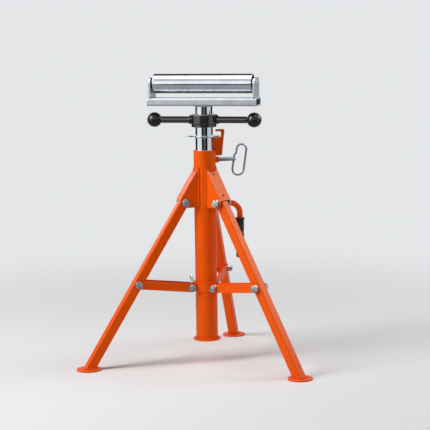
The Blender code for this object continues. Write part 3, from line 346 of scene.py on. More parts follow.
def loose_piece(name, shapes):
    """Object made of shapes whose doubled points are merged and whose faces point outwards."""
    shape = bmesh.new()
    for points, faces in shapes:
        mesh = bpy.data.meshes.new(name)
        mesh.from_pydata(points.tolist(), [], faces)
        shape.from_mesh(mesh)
        bpy.data.meshes.remove(mesh)
    bmesh.ops.remove_doubles(shape, verts=shape.verts, dist=2e-7)
    bmesh.ops.recalc_face_normals(shape, faces=shape.faces)
    mesh = bpy.data.meshes.new(name)
    shape.to_mesh(mesh)
    shape.free()
    return new_object(name, mesh)


def drilled(piece, cutters):
    """The piece with the cutters taken out of it, and its mesh settled."""
    tool = loose_piece(piece.name + "_cutter", cutters)
    cut = piece.modifiers.new("drill", "BOOLEAN")
    cut.operation, cut.solver, cut.object = "DIFFERENCE", "EXACT", tool
    solid = bpy.data.meshes.new_from_object(piece.evaluated_get(bpy.context.evaluated_depsgraph_get()))
    piece.modifiers.clear()
    piece.data = solid
    bpy.data.objects.remove(tool)
    return piece


def fitted(piece, finish, body, *nodes):
    """Gives a piece its shading, finish and body, and hides the solids it stands for."""
    material, slot = finish
    if not piece.modifiers:
        shade_by_angle(piece.data)
    even = piece.modifiers.new("even_shading", "WEIGHTED_NORMAL")
    even.keep_sharp = True
    piece.data.materials.clear()
    piece.data.materials.append(material)
    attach(piece, body)
    if nodes:
        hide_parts(*nodes)


def made(name, shapes, finish, body, *nodes):
    """New piece made of shapes and fitted."""
    fitted(loose_piece(name, shapes), finish, body, *nodes)


def ring_bead(radius, height, width, steps=288, ripples=60):
    """Weld round the Z axis: a torus whose section swells once a ripple."""
    size = width / 2 * (1.0 + 0.13 * np.cos(once_round(steps) * ripples))
    b = once_round(10).T
    return about_z(radius + size * np.cos(b), height + size * np.sin(b), True)


COLUMN_RADIUS = 0.0285
COLUMN_BORE = 0.0234
COLUMN_TOP = 0.498
COLUMN_FOOT = 0.0053
PIN_HEIGHT = 0.472
PIN_HOLE = 0.0108
PIN_SIDE = 30.0
PIN_LINE = spoke(PIN_SIDE, 0.0, PIN_HEIGHT) @ ALONG_X
DRILL = 0.05
tube = loose_piece("column_tube_coated", [pipe(COLUMN_RADIUS, COLUMN_BORE, COLUMN_FOOT, COLUMN_TOP)])
pin_bore = placed(PIN_LINE, round_bar(PIN_HOLE / 2, 0.0, DRILL))
fitted(drilled(tube, pin_bore), orange_coat, "column", "column_tube")

FLANGE_RADIUS = 0.0355
FLANGE_THICKNESS = 0.005
PLUG_RADIUS = 0.0230
PLUG_TOP = 0.0066
plate = [(0.0, 0.0), (FLANGE_RADIUS, 0.0), (FLANGE_RADIUS, FLANGE_THICKNESS),
         (PLUG_RADIUS, FLANGE_THICKNESS), (PLUG_RADIUS, PLUG_TOP), (0.0, PLUG_TOP)]
made("column_flange_coated", [lathed(plate, [0.0, 0.0012, 0.0012, 0.0, FINE, 0.0], 96),
                              ring_bead(COLUMN_RADIUS + 0.0008, FLANGE_THICKNESS + 0.0007, 0.0034)],
     orange_coat, "column", "column_base")

# Folded brackets, hook plate and pin bush, welded on the column
# Cut from 3 and 5 mm sheet and folded, so their edges are only just rounded and the folds are
# soft. Each is fixed by a run of weld that the powder covers.

LEG_SIDES = {"a": 90.0, "b": 210.0, "c": 330.0}
LEG_LEAN = math.radians(31.6)
PIVOT_RADIUS = 0.0585
PIVOT_HEIGHT = 0.365


def capped(loops):
    """Skin over a row of closed loops of points, with one face over each end."""
    count = loops.shape[1]
    points, faces = surface(loops, False, True)
    return points, faces + [list(range(count))[::-1], list(range(len(points) - count, len(points)))]


def carried(section, path, side, scale=None):
    """Section points (u, v) carried along a path: at each point p with direction d, the place is
    p + u side + v (d x side), times a scale. Both ends are closed by one face."""
    section, path, side = (np.asarray(v, float) for v in (section, path, side))
    way = np.gradient(path, axis=0)
    way /= np.linalg.norm(way, axis=1)[:, None]
    out = np.cross(way, side)
    size = np.ones(len(path)) if scale is None else np.asarray(scale, float)
    spread = section[None, :, 0, None] * side + section[None, :, 1, None] * out[:, None]
    return capped(path[:, None] + spread * size[:, None, None])


def disc(diameter, steps=16):
    """Round section as (u, v) points."""
    a = once_round(steps)
    return np.hstack([np.cos(a), np.sin(a)]) * diameter / 2


def weld_bead(path, side, width=0.0045, ripple=0.0011):
    """Ripples of a weld: a flattened round section carried along a path, swelling once a ripple."""
    path = np.asarray(path, float)
    reach = np.concatenate([[0.0], np.cumsum(np.linalg.norm(np.diff(path, axis=0), axis=1))])
    fine = np.linspace(0.0, reach[-1], max(int(reach[-1] / ripple * 4), 8))
    dense = np.stack([np.interp(fine, reach, path[:, i]) for i in range(3)], -1)
    swell = 1.0 + 0.07 * np.cos(math.tau * fine / ripple / 2)
    ends = np.clip(np.minimum(fine, reach[-1] - fine) / width, 0.0, 1.0)
    return carried(disc(width, 10), dense, side, swell * np.sqrt(0.15 + 0.85 * ends))


def side_welds(out, across, low, high, width):
    """Two upright runs of weld in a spoke's frame, one on each side of a plate."""
    return [weld_bead([(out, y, low), (out, y, high)], (0.0, 1.0, 0.0), width) for y in (-across, across)]


def sheet_copy(name, node, edge, bends=None, degrees=40.0):
    """Copy of a sheet metal solid: triangles joined into flats, edges rounded by a bevel. bends is
    (radius, run, side, out): the long edges along run, at least out to either side, are folds."""
    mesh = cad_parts[node].data.copy()
    shape = bmesh.new()
    shape.from_mesh(mesh)
    bmesh.ops.remove_doubles(shape, verts=shape.verts, dist=2e-6)
    bmesh.ops.dissolve_limit(shape, angle_limit=math.radians(1.0), verts=shape.verts, edges=shape.edges)
    if bends:
        radius, run, side, out = bends
        weight = shape.edges.layers.float.new("bevel_weight_edge")
        for line in shape.edges:
            along = line.verts[1].co - line.verts[0].co
            middle = (line.verts[1].co + line.verts[0].co) / 2
            fold = (along.length > 0.03 and abs(along.normalized().dot(run)) > 0.999
                    and abs(middle.dot(side)) > out)
            sharp = line.calc_face_angle(0.0) > math.radians(degrees)
            line[weight] = 1.0 if fold else (edge / radius if sharp else 0.0)
    shape.to_mesh(mesh)
    shape.free()
    shade_by_angle(mesh, degrees)
    piece = new_object(name, mesh)
    rounding = piece.modifiers.new("rounded_edges", "BEVEL")
    rounding.width = bends[0] if bends else edge
    rounding.segments = 4 if bends else 3
    rounding.limit_method = "WEIGHT" if bends else "ANGLE"
    rounding.angle_limit = math.radians(degrees)
    return piece


def finished_copy(name, node, edge, finish, body):
    """Sheet copy with its finish and body, standing for its solid."""
    fitted(sheet_copy(name, node, edge), finish, body, node)


def leg_frame(azimuth):
    """Frame of a leg at its pivot: X out square to the leg, Y across, Z up along it."""
    return spoke(azimuth, PIVOT_RADIUS, PIVOT_HEIGHT) @ Matrix.Rotation(-LEG_LEAN, 4, "Y")


BRACKET_FOOT = 0.352
FLANGE_FACE = 0.01925
WEB_FACE = 0.0158
BRACKET_FOLD = 0.0030
beside = math.sqrt(COLUMN_RADIUS ** 2 - FLANGE_FACE ** 2)


def web_height(out):
    """Height of the web's outer face where it is a distance out from the column's axis."""
    inwards = PIVOT_RADIUS + WEB_FACE * math.cos(LEG_LEAN) - out
    return PIVOT_HEIGHT + inwards / math.tan(LEG_LEAN) + WEB_FACE * math.sin(LEG_LEAN)


WEB_HOLES = (0.013, 0.0745)
WEB_HOLE_RADIUS = 0.0028
PUNCH = 0.006
BEAD = 0.0006
for letter, azimuth in LEG_SIDES.items():
    leg_line = leg_frame(azimuth)
    bends = (BRACKET_FOLD, leg_line.col[2].to_3d(), leg_line.col[1].to_3d(), FLANGE_FACE - 0.0002)
    bracket = sheet_copy(f"bracket_{letter}_coated", f"bracket_{letter}", 0.0007, bends)
    punches = []
    for up_leg in WEB_HOLES:
        hole = leg_line @ Matrix.Translation((WEB_FACE, 0.0, up_leg)) @ ALONG_X
        punches += placed(hole, round_bar(WEB_HOLE_RADIUS, -PUNCH, PUNCH))
    fitted(drilled(bracket, punches), orange_coat, "column", f"bracket_{letter}")
    across = np.linspace(-FLANGE_FACE, FLANGE_FACE, 40)
    shoulder = np.sqrt((COLUMN_RADIUS + 0.0005) ** 2 - across ** 2)
    saddle = np.stack([shoulder, across, [web_height(x) + BEAD for x in shoulder]], -1)
    runs = [weld_bead(saddle, (0.62, 0.0, 0.78), 0.0042)]
    runs += side_welds(beside + 2 * BEAD, FLANGE_FACE + BEAD, BRACKET_FOOT + 0.001,
                       web_height(beside) - 0.002, 0.0040)
    made(f"bracket_{letter}_weld", placed(spoke(azimuth), *runs), orange_coat, "column")

finished_copy("hook_plate_coated", "hook_plate", 0.0006, orange_coat, "column")
HOOK_HALF = 0.0025
HOOK_FOOT = 0.4825
runs = side_welds(COLUMN_RADIUS + 0.0008, HOOK_HALF + 0.0007, HOOK_FOOT + 0.001, COLUMN_TOP - 0.001, 0.0032)
made("hook_plate_weld", placed(spoke(PIN_SIDE), *runs), orange_coat, "column")


def saddle_weld(radius, height, width):
    """Weld round a tube that meets the column square on: the circle (radius cos a, radius sin a)
    laid on the column's wall, out sqrt(R^2 - across^2)."""
    around = np.linspace(0.0, math.tau, 60)
    across, rise = radius * np.cos(around), radius * np.sin(around)
    out = np.sqrt((COLUMN_RADIUS + BEAD) ** 2 - across ** 2)
    return weld_bead(np.stack([out, across, height + rise], -1), (1.0, 0.0, 0.0), width)


BUSH_RADIUS = 0.008
BUSH_START = 0.0270
BUSH_END = 0.0375
sleeve = pipe(BUSH_RADIUS, PIN_HOLE / 2, BUSH_START, BUSH_END, [0.0, RIM, RIM, 0.0], 48)
weld = saddle_weld(BUSH_RADIUS, PIN_HEIGHT, 0.0030)
made("pin_bush_coated", placed(PIN_LINE, sleeve) + placed(spoke(PIN_SIDE), weld), orange_coat, "column",
     "pin_bush")

# Carrying handle: a 15 mm tube bent once and coped to the column, under powder coat
# The grip is a moulded sleeve of matt black rubber, pulled over the tube, with a rolled mouth.

HANDLE_SIDE = 30.0
HANDLE_HEIGHT = 0.357
HANDLE_REACH = 0.094
HANDLE_BEND = 0.028
HANDLE_TUBE = 0.015
GRIP_TOP = 0.317
GRIP_BOTTOM = 0.212


def in_plane(x, z):
    """Path (x, 0, z) in the plane of a spoke."""
    return np.stack(np.broadcast_arrays(x, 0.0, z), -1)


def arc(x, z, radius, start, end, steps):
    """Path (x + radius cos a, 0, z + radius sin a), where a goes from start to end."""
    a = np.linspace(start, end, steps)
    return in_plane(x + radius * np.cos(a), z + radius * np.sin(a))


BEND_OUT = HANDLE_REACH - HANDLE_BEND
BEND_DOWN = HANDLE_HEIGHT - HANDLE_BEND
route = np.concatenate([
    in_plane(np.linspace(COLUMN_RADIUS - FINE, BEND_OUT, 8)[:-1], HANDLE_HEIGHT),
    arc(BEND_OUT, BEND_DOWN, HANDLE_BEND, math.pi / 2, 0.0, 28),
    in_plane(HANDLE_REACH, np.linspace(BEND_DOWN, GRIP_TOP - 0.02, 8)[1:])])
parts = [carried(disc(HANDLE_TUBE, 40), route, (0.0, 1.0, 0.0)),
         saddle_weld(HANDLE_TUBE / 2, HANDLE_HEIGHT, 0.0036)]
made("carry_handle_coated", placed(spoke(HANDLE_SIDE), *parts), orange_coat, "column", "carry_handle")


def moulded_finish(name, colour, worn, rough, depth):
    """Moulded rubber or plastic: a fine spark-eroded grain of about 0.6 mm and a pale bloom."""
    material, tree = blank_material(name)
    place = add_node(tree, "TexCoord").outputs["Object"]
    bloom = add_node(tree, "TexNoise", {"Scale": 1.0 / 0.012, "Detail": 4.0}, {"Vector": place})
    tone = add_node(tree, "Mix", {"data_type": "RGBA", 6: linear(colour), 7: linear(worn)}, {0: bloom})
    grain = add_node(tree, "TexVoronoi", {"Scale": 1.0 / 0.0006}, {"Vector": place})
    bump = add_node(tree, "Bump", {"Strength": 0.6, "Distance": depth}, {"Height": grain})
    shader = add_node(tree, "BsdfPrincipled", {"Roughness": rough, "IOR": 1.5},
                      {"Base Color": tone.outputs[2], "Normal": bump})
    add_node(tree, "OutputMaterial", links={"Surface": shader})
    return material


black_rubber = (moulded_finish("moulded_black_rubber", "0D0D0E", "1C1C1E", 0.62, 6e-5), "grip_rubber")
GRIP_RADIUS = 0.0105
MOUTH_RADIUS = 0.01225
MOUTH_HEIGHT = 0.004
MOUTH_DEPTH = 0.003
GROOVE = 0.0009
GROOVE_HALF = 0.002
GROOVE_SLOPE = 0.0025
pitch = (GRIP_TOP - MOUTH_HEIGHT - GRIP_BOTTOM) / 3
side = [(0.0, GRIP_BOTTOM), (GRIP_RADIUS, GRIP_BOTTOM)]
rounds = [0.0, 0.0035]
for i in (1, 2):
    low, high = GRIP_BOTTOM + i * pitch - GROOVE_HALF, GRIP_BOTTOM + i * pitch + GROOVE_HALF
    side += [(GRIP_RADIUS, low - GROOVE_SLOPE), (GRIP_RADIUS - GROOVE, low), (GRIP_RADIUS - GROOVE, high),
             (GRIP_RADIUS, high + GROOVE_SLOPE)]
    rounds += [0.001] * 4
neck = GRIP_TOP - MOUTH_HEIGHT
side += [(GRIP_RADIUS, neck - GROOVE_SLOPE), (MOUTH_RADIUS, neck), (MOUTH_RADIUS, GRIP_TOP),
         (HANDLE_TUBE / 2, GRIP_TOP), (HANDLE_TUBE / 2, GRIP_TOP - MOUTH_DEPTH),
         (0.0, GRIP_TOP - MOUTH_DEPTH)]
rounds += [0.0012, 0.0012, 0.0014, 0.0005, 0.0, 0.0]
made("handle_grip_rubber", placed(spoke(HANDLE_SIDE, HANDLE_REACH), lathed(side, rounds, 64, 5)),
     black_rubber, "column", "handle_grip")

# Bolts, nuts, washers, spacers and bushes: bright zinc plate, passivated blue
# Stamped M10 heads and nuts with turned chamfers; the plate is fine-grained and drifts from blue
# to a faint straw. Each bolt carries a pressed washer at both ends.


def plate_finish(name, colours, rough, grain_mm, depth, drift_mm=9.0, detail=3.0,
                 tone_span=(0.35, 0.65), gloss_span=(0.3, 0.7)):
    """Plated or blacked metal: colour drifting over a few millimetres, and a fine grain in the
    gloss. The spans are the parts of the drift's noise that the tone and the gloss run over."""
    material, tree = blank_material(name)
    place = add_node(tree, "TexCoord").outputs["Object"]
    drift = add_node(tree, "TexNoise", {"Scale": 1000.0 / drift_mm, "Detail": detail}, {"Vector": place})
    tone = add_node(tree, "ValToRGB", links={0: drift})
    ramp = tone.color_ramp
    ramp.elements[0].position, ramp.elements[1].position = tone_span
    ramp.elements[0].color, ramp.elements[1].color = linear(colours[0]), linear(colours[-1])
    if len(colours) == 3:
        ramp.elements.new(0.5).color = linear(colours[1])
    grain = add_node(tree, "TexNoise", {"Scale": 1000.0 / grain_mm, "Detail": 2.0}, {"Vector": place})
    bump = add_node(tree, "Bump", {"Distance": depth}, {"Height": grain})
    gloss = add_node(tree, "MapRange", {"From Min": gloss_span[0], "From Max": gloss_span[1],
                                        "To Min": rough[0], "To Max": rough[1]}, {"Value": drift})
    shader = add_node(tree, "BsdfPrincipled", {"Metallic": 1.0},
                      {"Base Color": tone, "Roughness": gloss, "Normal": bump})
    add_node(tree, "OutputMaterial", links={"Surface": shader})
    return material


blue_zinc = (plate_finish("blue_passivated_zinc", ("9DB0C4", "C3C9CE", "CFC9B8"), (0.20, 0.34), 0.5, 6e-6),
             "zinc")
ALONG_Y = Matrix.Rotation(-math.pi / 2, 4, "X")
AGAINST_Y = Matrix.Rotation(math.pi / 2, 4, "X")
BOLT_RADIUS = 0.005
FLATS = 0.017
WASHER_RADIUS = 0.00975
WASHER = 0.0016
HEAD_HEIGHT = 0.0064
NUT_HEIGHT = 0.008
STANDOUT = 0.0025
PLAY = 0.0003


def hexagon_head(low, high, both=False, cup=0.0):
    """Hexagon bar with turned chamfers: radius (flats/2)/cos(angle within its sixth), cut by a
    30 degree cone at the top, and at the bottom too on a nut; the top is flat or slightly cupped."""
    within = (once_round(72) + math.pi / 6) % (math.pi / 3) - math.pi / 6
    r = FLATS / 2 / np.cos(within)
    edge = FLATS / 2 * 0.985
    fall = (r - edge) * math.tan(math.radians(30.0))
    zero = 0.0 * r
    rows = [(zero, zero + low), (zero + edge, zero + low), (r, low + fall if both else zero + low),
            (r, high - fall), (zero + edge, zero + high), (zero + edge * 0.6, zero + high - cup),
            (zero, zero + high - cup)]
    return about_z(np.hstack([row[0] for row in rows]), np.hstack([row[1] for row in rows]), False)


def washer(low, high):
    """Pressed washer: square inside, its rim rounded by the die."""
    return pipe(WASHER_RADIUS, BOLT_RADIUS, low, high, [FINE, FINE, 0.0, 0.0], 48, 3)


def wound(r, z):
    """Bar along Z from its radius at each turn (rows of r) and each height z (columns of r). The
    points are (r cos a, r sin a, z), and both ends are closed flat."""
    turns, heights = r.shape
    points, faces = about_z(r, z, False)
    return points, faces + [[i * heights + end for i in range(turns)] for end in (0, heights - 1)]


def thread_wave(z, pitch, steps):
    """Triangle wave of the height less the turn: |2 ((z / pitch - a / 2 pi) mod 1) - 1|."""
    return np.abs(((z / pitch - once_round(steps) / math.tau) % 1.0) * 2.0 - 1.0)


def threaded_end(low, high, radius=BOLT_RADIUS, pitch=0.0015, steps=40):
    """Screw thread: the bolt's radius less a triangle wave, run out at its high end."""
    z = np.linspace(low, high, max(int((high - low) / pitch * 8), 6))
    lead = np.clip((high - z) / (0.6 * pitch), 0.0, 1.0)
    return wound(radius - 0.55 * pitch * (thread_wave(z, pitch, steps) * lead + 1.0 - lead), z)


def bolt_end(cheek, start=None, nut=False):
    """One end of a bolt along Y outside a cheek: a washer, and a head towards +Y or a nut towards
    -Y, with the shank from a start where one is given."""
    seat = cheek + PLAY
    face = seat + WASHER
    parts = [washer(seat, face)]
    if start is not None:
        parts.append(round_bar(BOLT_RADIUS, start, face))
    if nut:
        top = face + NUT_HEIGHT
        parts += [hexagon_head(face, top, both=True), threaded_end(top - 0.001, top + STANDOUT)]
    else:
        parts.append(hexagon_head(face, face + HEAD_HEIGHT, cup=FINE))
    return placed(AGAINST_Y if nut else ALONG_Y, *parts)


def bolt_and_nut(cheek):
    """Bolt through a clevis along Y, its head on the +Y side and its nut on the other."""
    return bolt_end(cheek, -(cheek + PLAY + WASHER)) + bolt_end(cheek, nut=True)


SPACER = washer(0.0129, 0.01595)
for letter, azimuth in LEG_SIDES.items():
    parts = bolt_and_nut(FLANGE_FACE) + placed(ALONG_Y, SPACER) + placed(AGAINST_Y, SPACER)
    made(f"pivot_bolt_{letter}_zinc", placed(spoke(azimuth, PIVOT_RADIUS, PIVOT_HEIGHT), *parts),
         blue_zinc, "column", f"pivot_bolt_{letter}", f"spacer_{letter}_left", f"spacer_{letter}_right")

# Post and ear ring: drawn tube with a row of pin holes, bright chrome plate
# The ring is pressed from plate and welded round the post, and its ears catch under the hook.
# The plate mirrors the room, only slightly blurred by the drawn surface below it.

bright_chrome = (plate_finish("bright_chrome_plate", ("D9DCDF", "E8EAEB"), (0.05, 0.11), 3.0, 4e-6, 40.0),
                 "chrome")
POST_RADIUS = 0.023
POST_BORE = 0.020
POST_BOTTOM = 0.0069
POST_TOP = 0.558
HOLE_PITCH = 0.036
PIN_HOLES = 11
post = loose_piece("post_tube_chrome", [pipe(POST_RADIUS, POST_BORE, POST_BOTTOM, POST_TOP, RIM, 128)])
bores = []
for i in range(PIN_HOLES):
    bores += placed(Matrix.Translation((0.0, 0.0, -i * HOLE_PITCH)), *pin_bore)
fitted(drilled(post, bores), bright_chrome, "post", "post_tube")
finished_copy("ear_ring_chrome", "ear_ring", 0.0006, bright_chrome, "post")
RING_HEIGHT = 0.534
RING_HALF = 0.00175
made("ear_ring_weld", [ring_bead(POST_RADIUS + 0.0005, RING_HEIGHT - RING_HALF - 0.0006, 0.0026)],
     bright_chrome, "post")

# Turning nut, bars and ball knobs: the hand drive of the screw jack
# The nut and bars are turned steel, blacked and oiled, with a brown cast where hands have rubbed
# them. The bars screw into the nut and end in moulded phenolic balls.

blacked_steel = (plate_finish("blacked_steel", ("545352", "615B55"), (0.15, 0.21), 0.7, 8e-6, 14.0, 4.0,
                              (0.0, 1.0), (0.0, 1.0)), "black_steel")
black_phenolic = (moulded_finish("moulded_black_phenolic", "060607", "0B0B0C", 0.15, 4e-6), "black_plastic")
SCREW_RADIUS = 0.017
SCREW_BORE = SCREW_RADIUS + 0.0004
HUB_RADIUS = 0.035
HUB_BOTTOM = 0.5583
HUB_TOP = 0.5903
HUB_SKIRT = 0.0326
HUB_WAIST = HUB_BOTTOM + 0.0070
HUB_DISH = 0.0275
HUB_DISH_DEPTH = 0.0006
BAR_HEIGHT = 0.5763
BAR_RADIUS = 0.00875
HUB_SIDES = {"right": 0.0, "left": 180.0}
bar_lines = {side: spoke(azimuth, 0.0, BAR_HEIGHT) @ ALONG_X for side, azimuth in HUB_SIDES.items()}
profile = soften([(SCREW_BORE, HUB_BOTTOM), (HUB_SKIRT, HUB_BOTTOM), (HUB_SKIRT, HUB_WAIST),
                  (HUB_RADIUS, HUB_WAIST + 0.0012), (HUB_RADIUS, HUB_TOP), (HUB_DISH + 0.001, HUB_TOP),
                  (HUB_DISH, HUB_TOP - HUB_DISH_DEPTH), (SCREW_BORE, HUB_TOP - HUB_DISH_DEPTH)],
                 [RIM, 0.0012, RIM, 0.0006, 2 * RIM, FINE, FINE, RIM])
hub = loose_piece("nut_hub_blacked", [turned(profile, 128)])
SEAT_START = 0.0249
SEAT_CHAMFER = 0.0338
SEAT_END = 0.036
SEAT_RADIUS = BAR_RADIUS + 0.0003
pocket = [(0.0, SEAT_START), (SEAT_RADIUS, SEAT_START), (SEAT_RADIUS, SEAT_CHAMFER),
          (BAR_RADIUS + 0.0021, SEAT_END), (0.0, SEAT_END)]
seats = []
for line in bar_lines.values():
    seats += placed(line, turned(pocket, 48, closed=False))
fitted(drilled(hub, seats), blacked_steel, "hub", "nut_hub")

BALL_OUT = 0.132
BALL_RADIUS = 0.01925
BALL_FLAT = 0.0085
BALL_MOUTH = 0.0062
PARTING = 0.00012
BAR_START = 0.025
BAR_SHOULDER = 0.0353
BAR_SHOULDER_END = 0.0393
SHOULDER_RADIUS = 0.011
SPIGOT_RADIUS = 0.00585
BAR_FACE = BALL_OUT - BALL_RADIUS + 0.0003
SPIGOT_END = BAR_FACE + 0.0114
SOCKET_END = BAR_FACE + 0.012
bar = [(0.0, BAR_START), (BAR_RADIUS, BAR_START), (BAR_RADIUS, BAR_SHOULDER),
       (SHOULDER_RADIUS, BAR_SHOULDER), (SHOULDER_RADIUS, BAR_SHOULDER_END),
       (BAR_RADIUS, BAR_SHOULDER_END), (BAR_RADIUS, BAR_FACE), (SPIGOT_RADIUS, BAR_FACE),
       (SPIGOT_RADIUS, SPIGOT_END), (0.0, SPIGOT_END)]
rounds = [0.0, FINE, 0.0, 0.0007, 0.0007, 0.001, RIM, 0.0003, FINE, 0.0]
bow = np.linspace(math.acos(-math.sqrt(1.0 - (BALL_FLAT / BALL_RADIUS) ** 2)), 0.0, 44)
ball = np.stack([BALL_RADIUS * np.sin(bow), BALL_OUT + BALL_RADIUS * np.cos(bow)], -1)
ball[:, 0] += np.exp(-((ball[:, 1] - BALL_OUT) / 0.0005) ** 2) * PARTING
ball[-1, 0] = 0.0
mouth = [(0.0, SOCKET_END), (BALL_MOUTH, SOCKET_END), (BALL_MOUTH, ball[0, 1] + FINE),
         (BALL_MOUTH + FINE, ball[0, 1])]
knob = turned(np.concatenate([mouth, ball]), 72, closed=False)
for side, line in bar_lines.items():
    made(f"turning_bar_{side}_blacked", placed(line, lathed(bar, rounds, 64)), blacked_steel, "hub",
         f"turning_bar_{side}")
for side, line in bar_lines.items():
    made(f"ball_knob_{side}_phenolic", placed(line, knob), black_phenolic, "hub", f"ball_knob_{side}")

# Lifting screw: cut trapezoidal thread of 6 mm pitch, zinc plated, with a plain top
# Only its top shows at rest; the thread rises out of the nut as the nut is turned. Its radius
# falls by the thread's depth where a triangle wave of height less turn is high.

SCREW_BOTTOM = 0.4843
SCREW_TOP = 0.6127
PLAIN_FROM = 0.5893
PITCH = 0.006
THREAD_DEPTH = 0.0032
z = np.linspace(SCREW_BOTTOM, SCREW_TOP, int((SCREW_TOP - SCREW_BOTTOM) / PITCH * 20))
groove = np.clip((thread_wave(z, PITCH, 72) - 0.37) / 0.26, 0.0, 1.0)
plain = np.clip((z - PLAIN_FROM) / 0.0012, 0.0, 1.0)
lead_in = np.clip((z - SCREW_BOTTOM) / 0.002, 0.0, 1.0)
depth = THREAD_DEPTH * np.maximum(groove * (1.0 - plain), 1.0 - lead_in)
made("lift_screw_zinc", [wound(SCREW_RADIUS - depth, z)], blue_zinc, "screw", "lift_screw")

# Roller head: sleeve, flat tube and two end plates, welded and then chrome plated
# The flat tube is open at its ends. The plates have round shoulders and stand a little in from
# the tube's ends, with a short weld inside and outside each.


def lined_finish(name, colours, rough, across, line_mm, depth, inside=None):
    """Plate over drawn, ground or turned steel: fine lines, line_mm apart across them, in height.
    The inside colour is painted shade in closed-in places and corners, standing also for bare steel the
    plate does not reach."""
    material = plate_finish(name, colours, rough, 2.0, 2e-6, 30.0)
    tree = material.node_tree
    if inside:
        # Painted shade: ambient occlusion darkens hollows and corners towards the inside colour.
        nook = add_node(tree, "AmbientOcclusion", {"samples": 6, "Distance": 0.03})
        reach = add_node(tree, "MapRange", {"From Min": 0.05, "From Max": 0.40},
                         {"Value": nook.outputs["AO"]})
        tone = add_node(tree, "Mix", {"data_type": "RGBA", 6: linear(inside)},
                        {0: reach, 7: tree.nodes["Color Ramp"].outputs[0]})
        tree.links.new(tone.outputs[2], tree.nodes["Principled BSDF"].inputs["Base Color"])
    place = tree.nodes["Texture Coordinate"].outputs["Object"]
    squeeze = add_node(tree, "Mapping", {"Scale": across}, {"Vector": place})
    lines = add_node(tree, "TexNoise", {"Scale": 1000.0 / line_mm, "Detail": 3.0}, {"Vector": squeeze})
    bump = add_node(tree, "Bump", {"Distance": depth},
                    {"Height": lines, "Normal": tree.nodes["Bump"].outputs[0]})
    tree.links.new(bump.outputs[0], tree.nodes["Principled BSDF"].inputs["Normal"])
    return material


# Its inside colour, 0A0A0B, is painted shade inside the flat tube and where plates and welds meet it.
drawn_plate = (lined_finish("satin_plate_over_drawn_tube", ("C8CBD2", "D0D3D9"), (0.30, 0.36),
                            (0.02, 1.0, 1.0), 1.6, 1.0e-5, "0A0A0B"), "chrome")
SLEEVE_RADIUS = 0.02235
SLEEVE_BOTTOM = 0.5906
HEAD_BOTTOM = 0.613
HEAD_TOP = 0.633
HEAD_HALF = 0.144
HEAD_DEPTH_HALF = 0.0285
HEAD_WALL = 0.003
HEAD_CORNER = 0.0045
HEAD_INNER_CORNER = 0.002
HEAD_EDGE = 0.0005
made("head_sleeve_chrome", [
    pipe(SLEEVE_RADIUS, SCREW_BORE, SLEEVE_BOTTOM, HEAD_BOTTOM - 0.0003, [RIM, 0.0, 0.0, RIM], 128),
    ring_bead(SLEEVE_RADIUS + 0.0002, HEAD_BOTTOM - 0.0014, 0.0022)],
    bright_chrome, "head", "head_sleeve")


def rounded_box(u, v, corner, steps):
    """Rounded rectangle from its two half sides, as (u, v) points."""
    return soften([(u, -v), (u, v), (-u, v), (-u, -v)], corner, steps)


def tube_loop(x, inset, corner):
    """One closed loop of the flat tube's skin: a rounded rectangle at a place along X."""
    half_z = (HEAD_TOP - HEAD_BOTTOM) / 2 - inset
    y, z = rounded_box(HEAD_DEPTH_HALF - inset, half_z, corner, 8).T
    return np.stack(np.broadcast_arrays(x, y, z + (HEAD_BOTTOM + HEAD_TOP) / 2), -1)


rim = [(HEAD_HALF - HEAD_EDGE, 0.0, HEAD_CORNER),
       (HEAD_HALF - 0.3 * HEAD_EDGE, 0.3 * HEAD_EDGE, HEAD_CORNER), (HEAD_HALF, HEAD_EDGE, HEAD_CORNER),
       (HEAD_HALF, HEAD_WALL - HEAD_EDGE, HEAD_INNER_CORNER),
       (HEAD_HALF - HEAD_EDGE, HEAD_WALL, HEAD_INNER_CORNER)]
loops = [tube_loop(*place) for place in rim] + [tube_loop(-x, *rest) for x, *rest in rim[::-1]]
made("head_tube_chrome", [surface(np.stack(loops), True, True)], drawn_plate, "head", "head_base")

PLATE_INNER = 0.1345
PLATE_OUTER = 0.1405
SEAM_HALF = HEAD_DEPTH_HALF - 0.006
SEAM_HEIGHT = HEAD_TOP + 0.0008
SIDES = (("right", 1.0), ("left", -1.0))
for side, sign in SIDES:
    finished_copy(f"head_end_{side}_chrome", f"head_end_{side}", 0.0009, drawn_plate, "head")
    runs = [weld_bead([(x, -SEAM_HALF, SEAM_HEIGHT), (x, SEAM_HALF, SEAM_HEIGHT)], (1.0, 0.0, 0.0), 0.0026)
            for x in (sign * (PLATE_INNER - BEAD), sign * (PLATE_OUTER + BEAD))]
    made(f"head_end_{side}_weld", runs, drawn_plate, "head")

# Axle and roller: turned steel shell on bearing caps, ground and chrome plated
# The axle is peened over outside the plates. The shell keeps the faint rings of its turning.

ground_chrome = (lined_finish("chrome_over_turned_steel", ("CDD0D4", "DEE0E3"), (0.07, 0.12),
                              (1.0, 0.0, 0.0), 1.4, 1.2e-6), "chrome")
ROLLER_AXIS = 0.6695
AXLE_RADIUS = 0.006
AXLE_END = 0.1417
COLLAR_ON_AXLE = 0.009
CAP_FACE = 0.1275
AXLE_PLAY = 0.0003
half_line = [(0.0, -AXLE_END), (AXLE_RADIUS, -AXLE_END), (AXLE_RADIUS, AXLE_PLAY - PLATE_INNER),
             (COLLAR_ON_AXLE, AXLE_PLAY - PLATE_INNER), (COLLAR_ON_AXLE, -CAP_FACE - AXLE_PLAY),
             (AXLE_RADIUS, -CAP_FACE - AXLE_PLAY)]
line = half_line + [(r, -x) for r, x in half_line[::-1]]
rounds = [0.0, 0.001, 0.0, 0.0006, 0.0006, 0.0]
LIE = Matrix.Translation((0.0, 0.0, ROLLER_AXIS)) @ ALONG_X
made("roller_axle_zinc", placed(LIE, lathed(line, rounds + rounds[::-1])), blue_zinc, "head", "roller_axle")

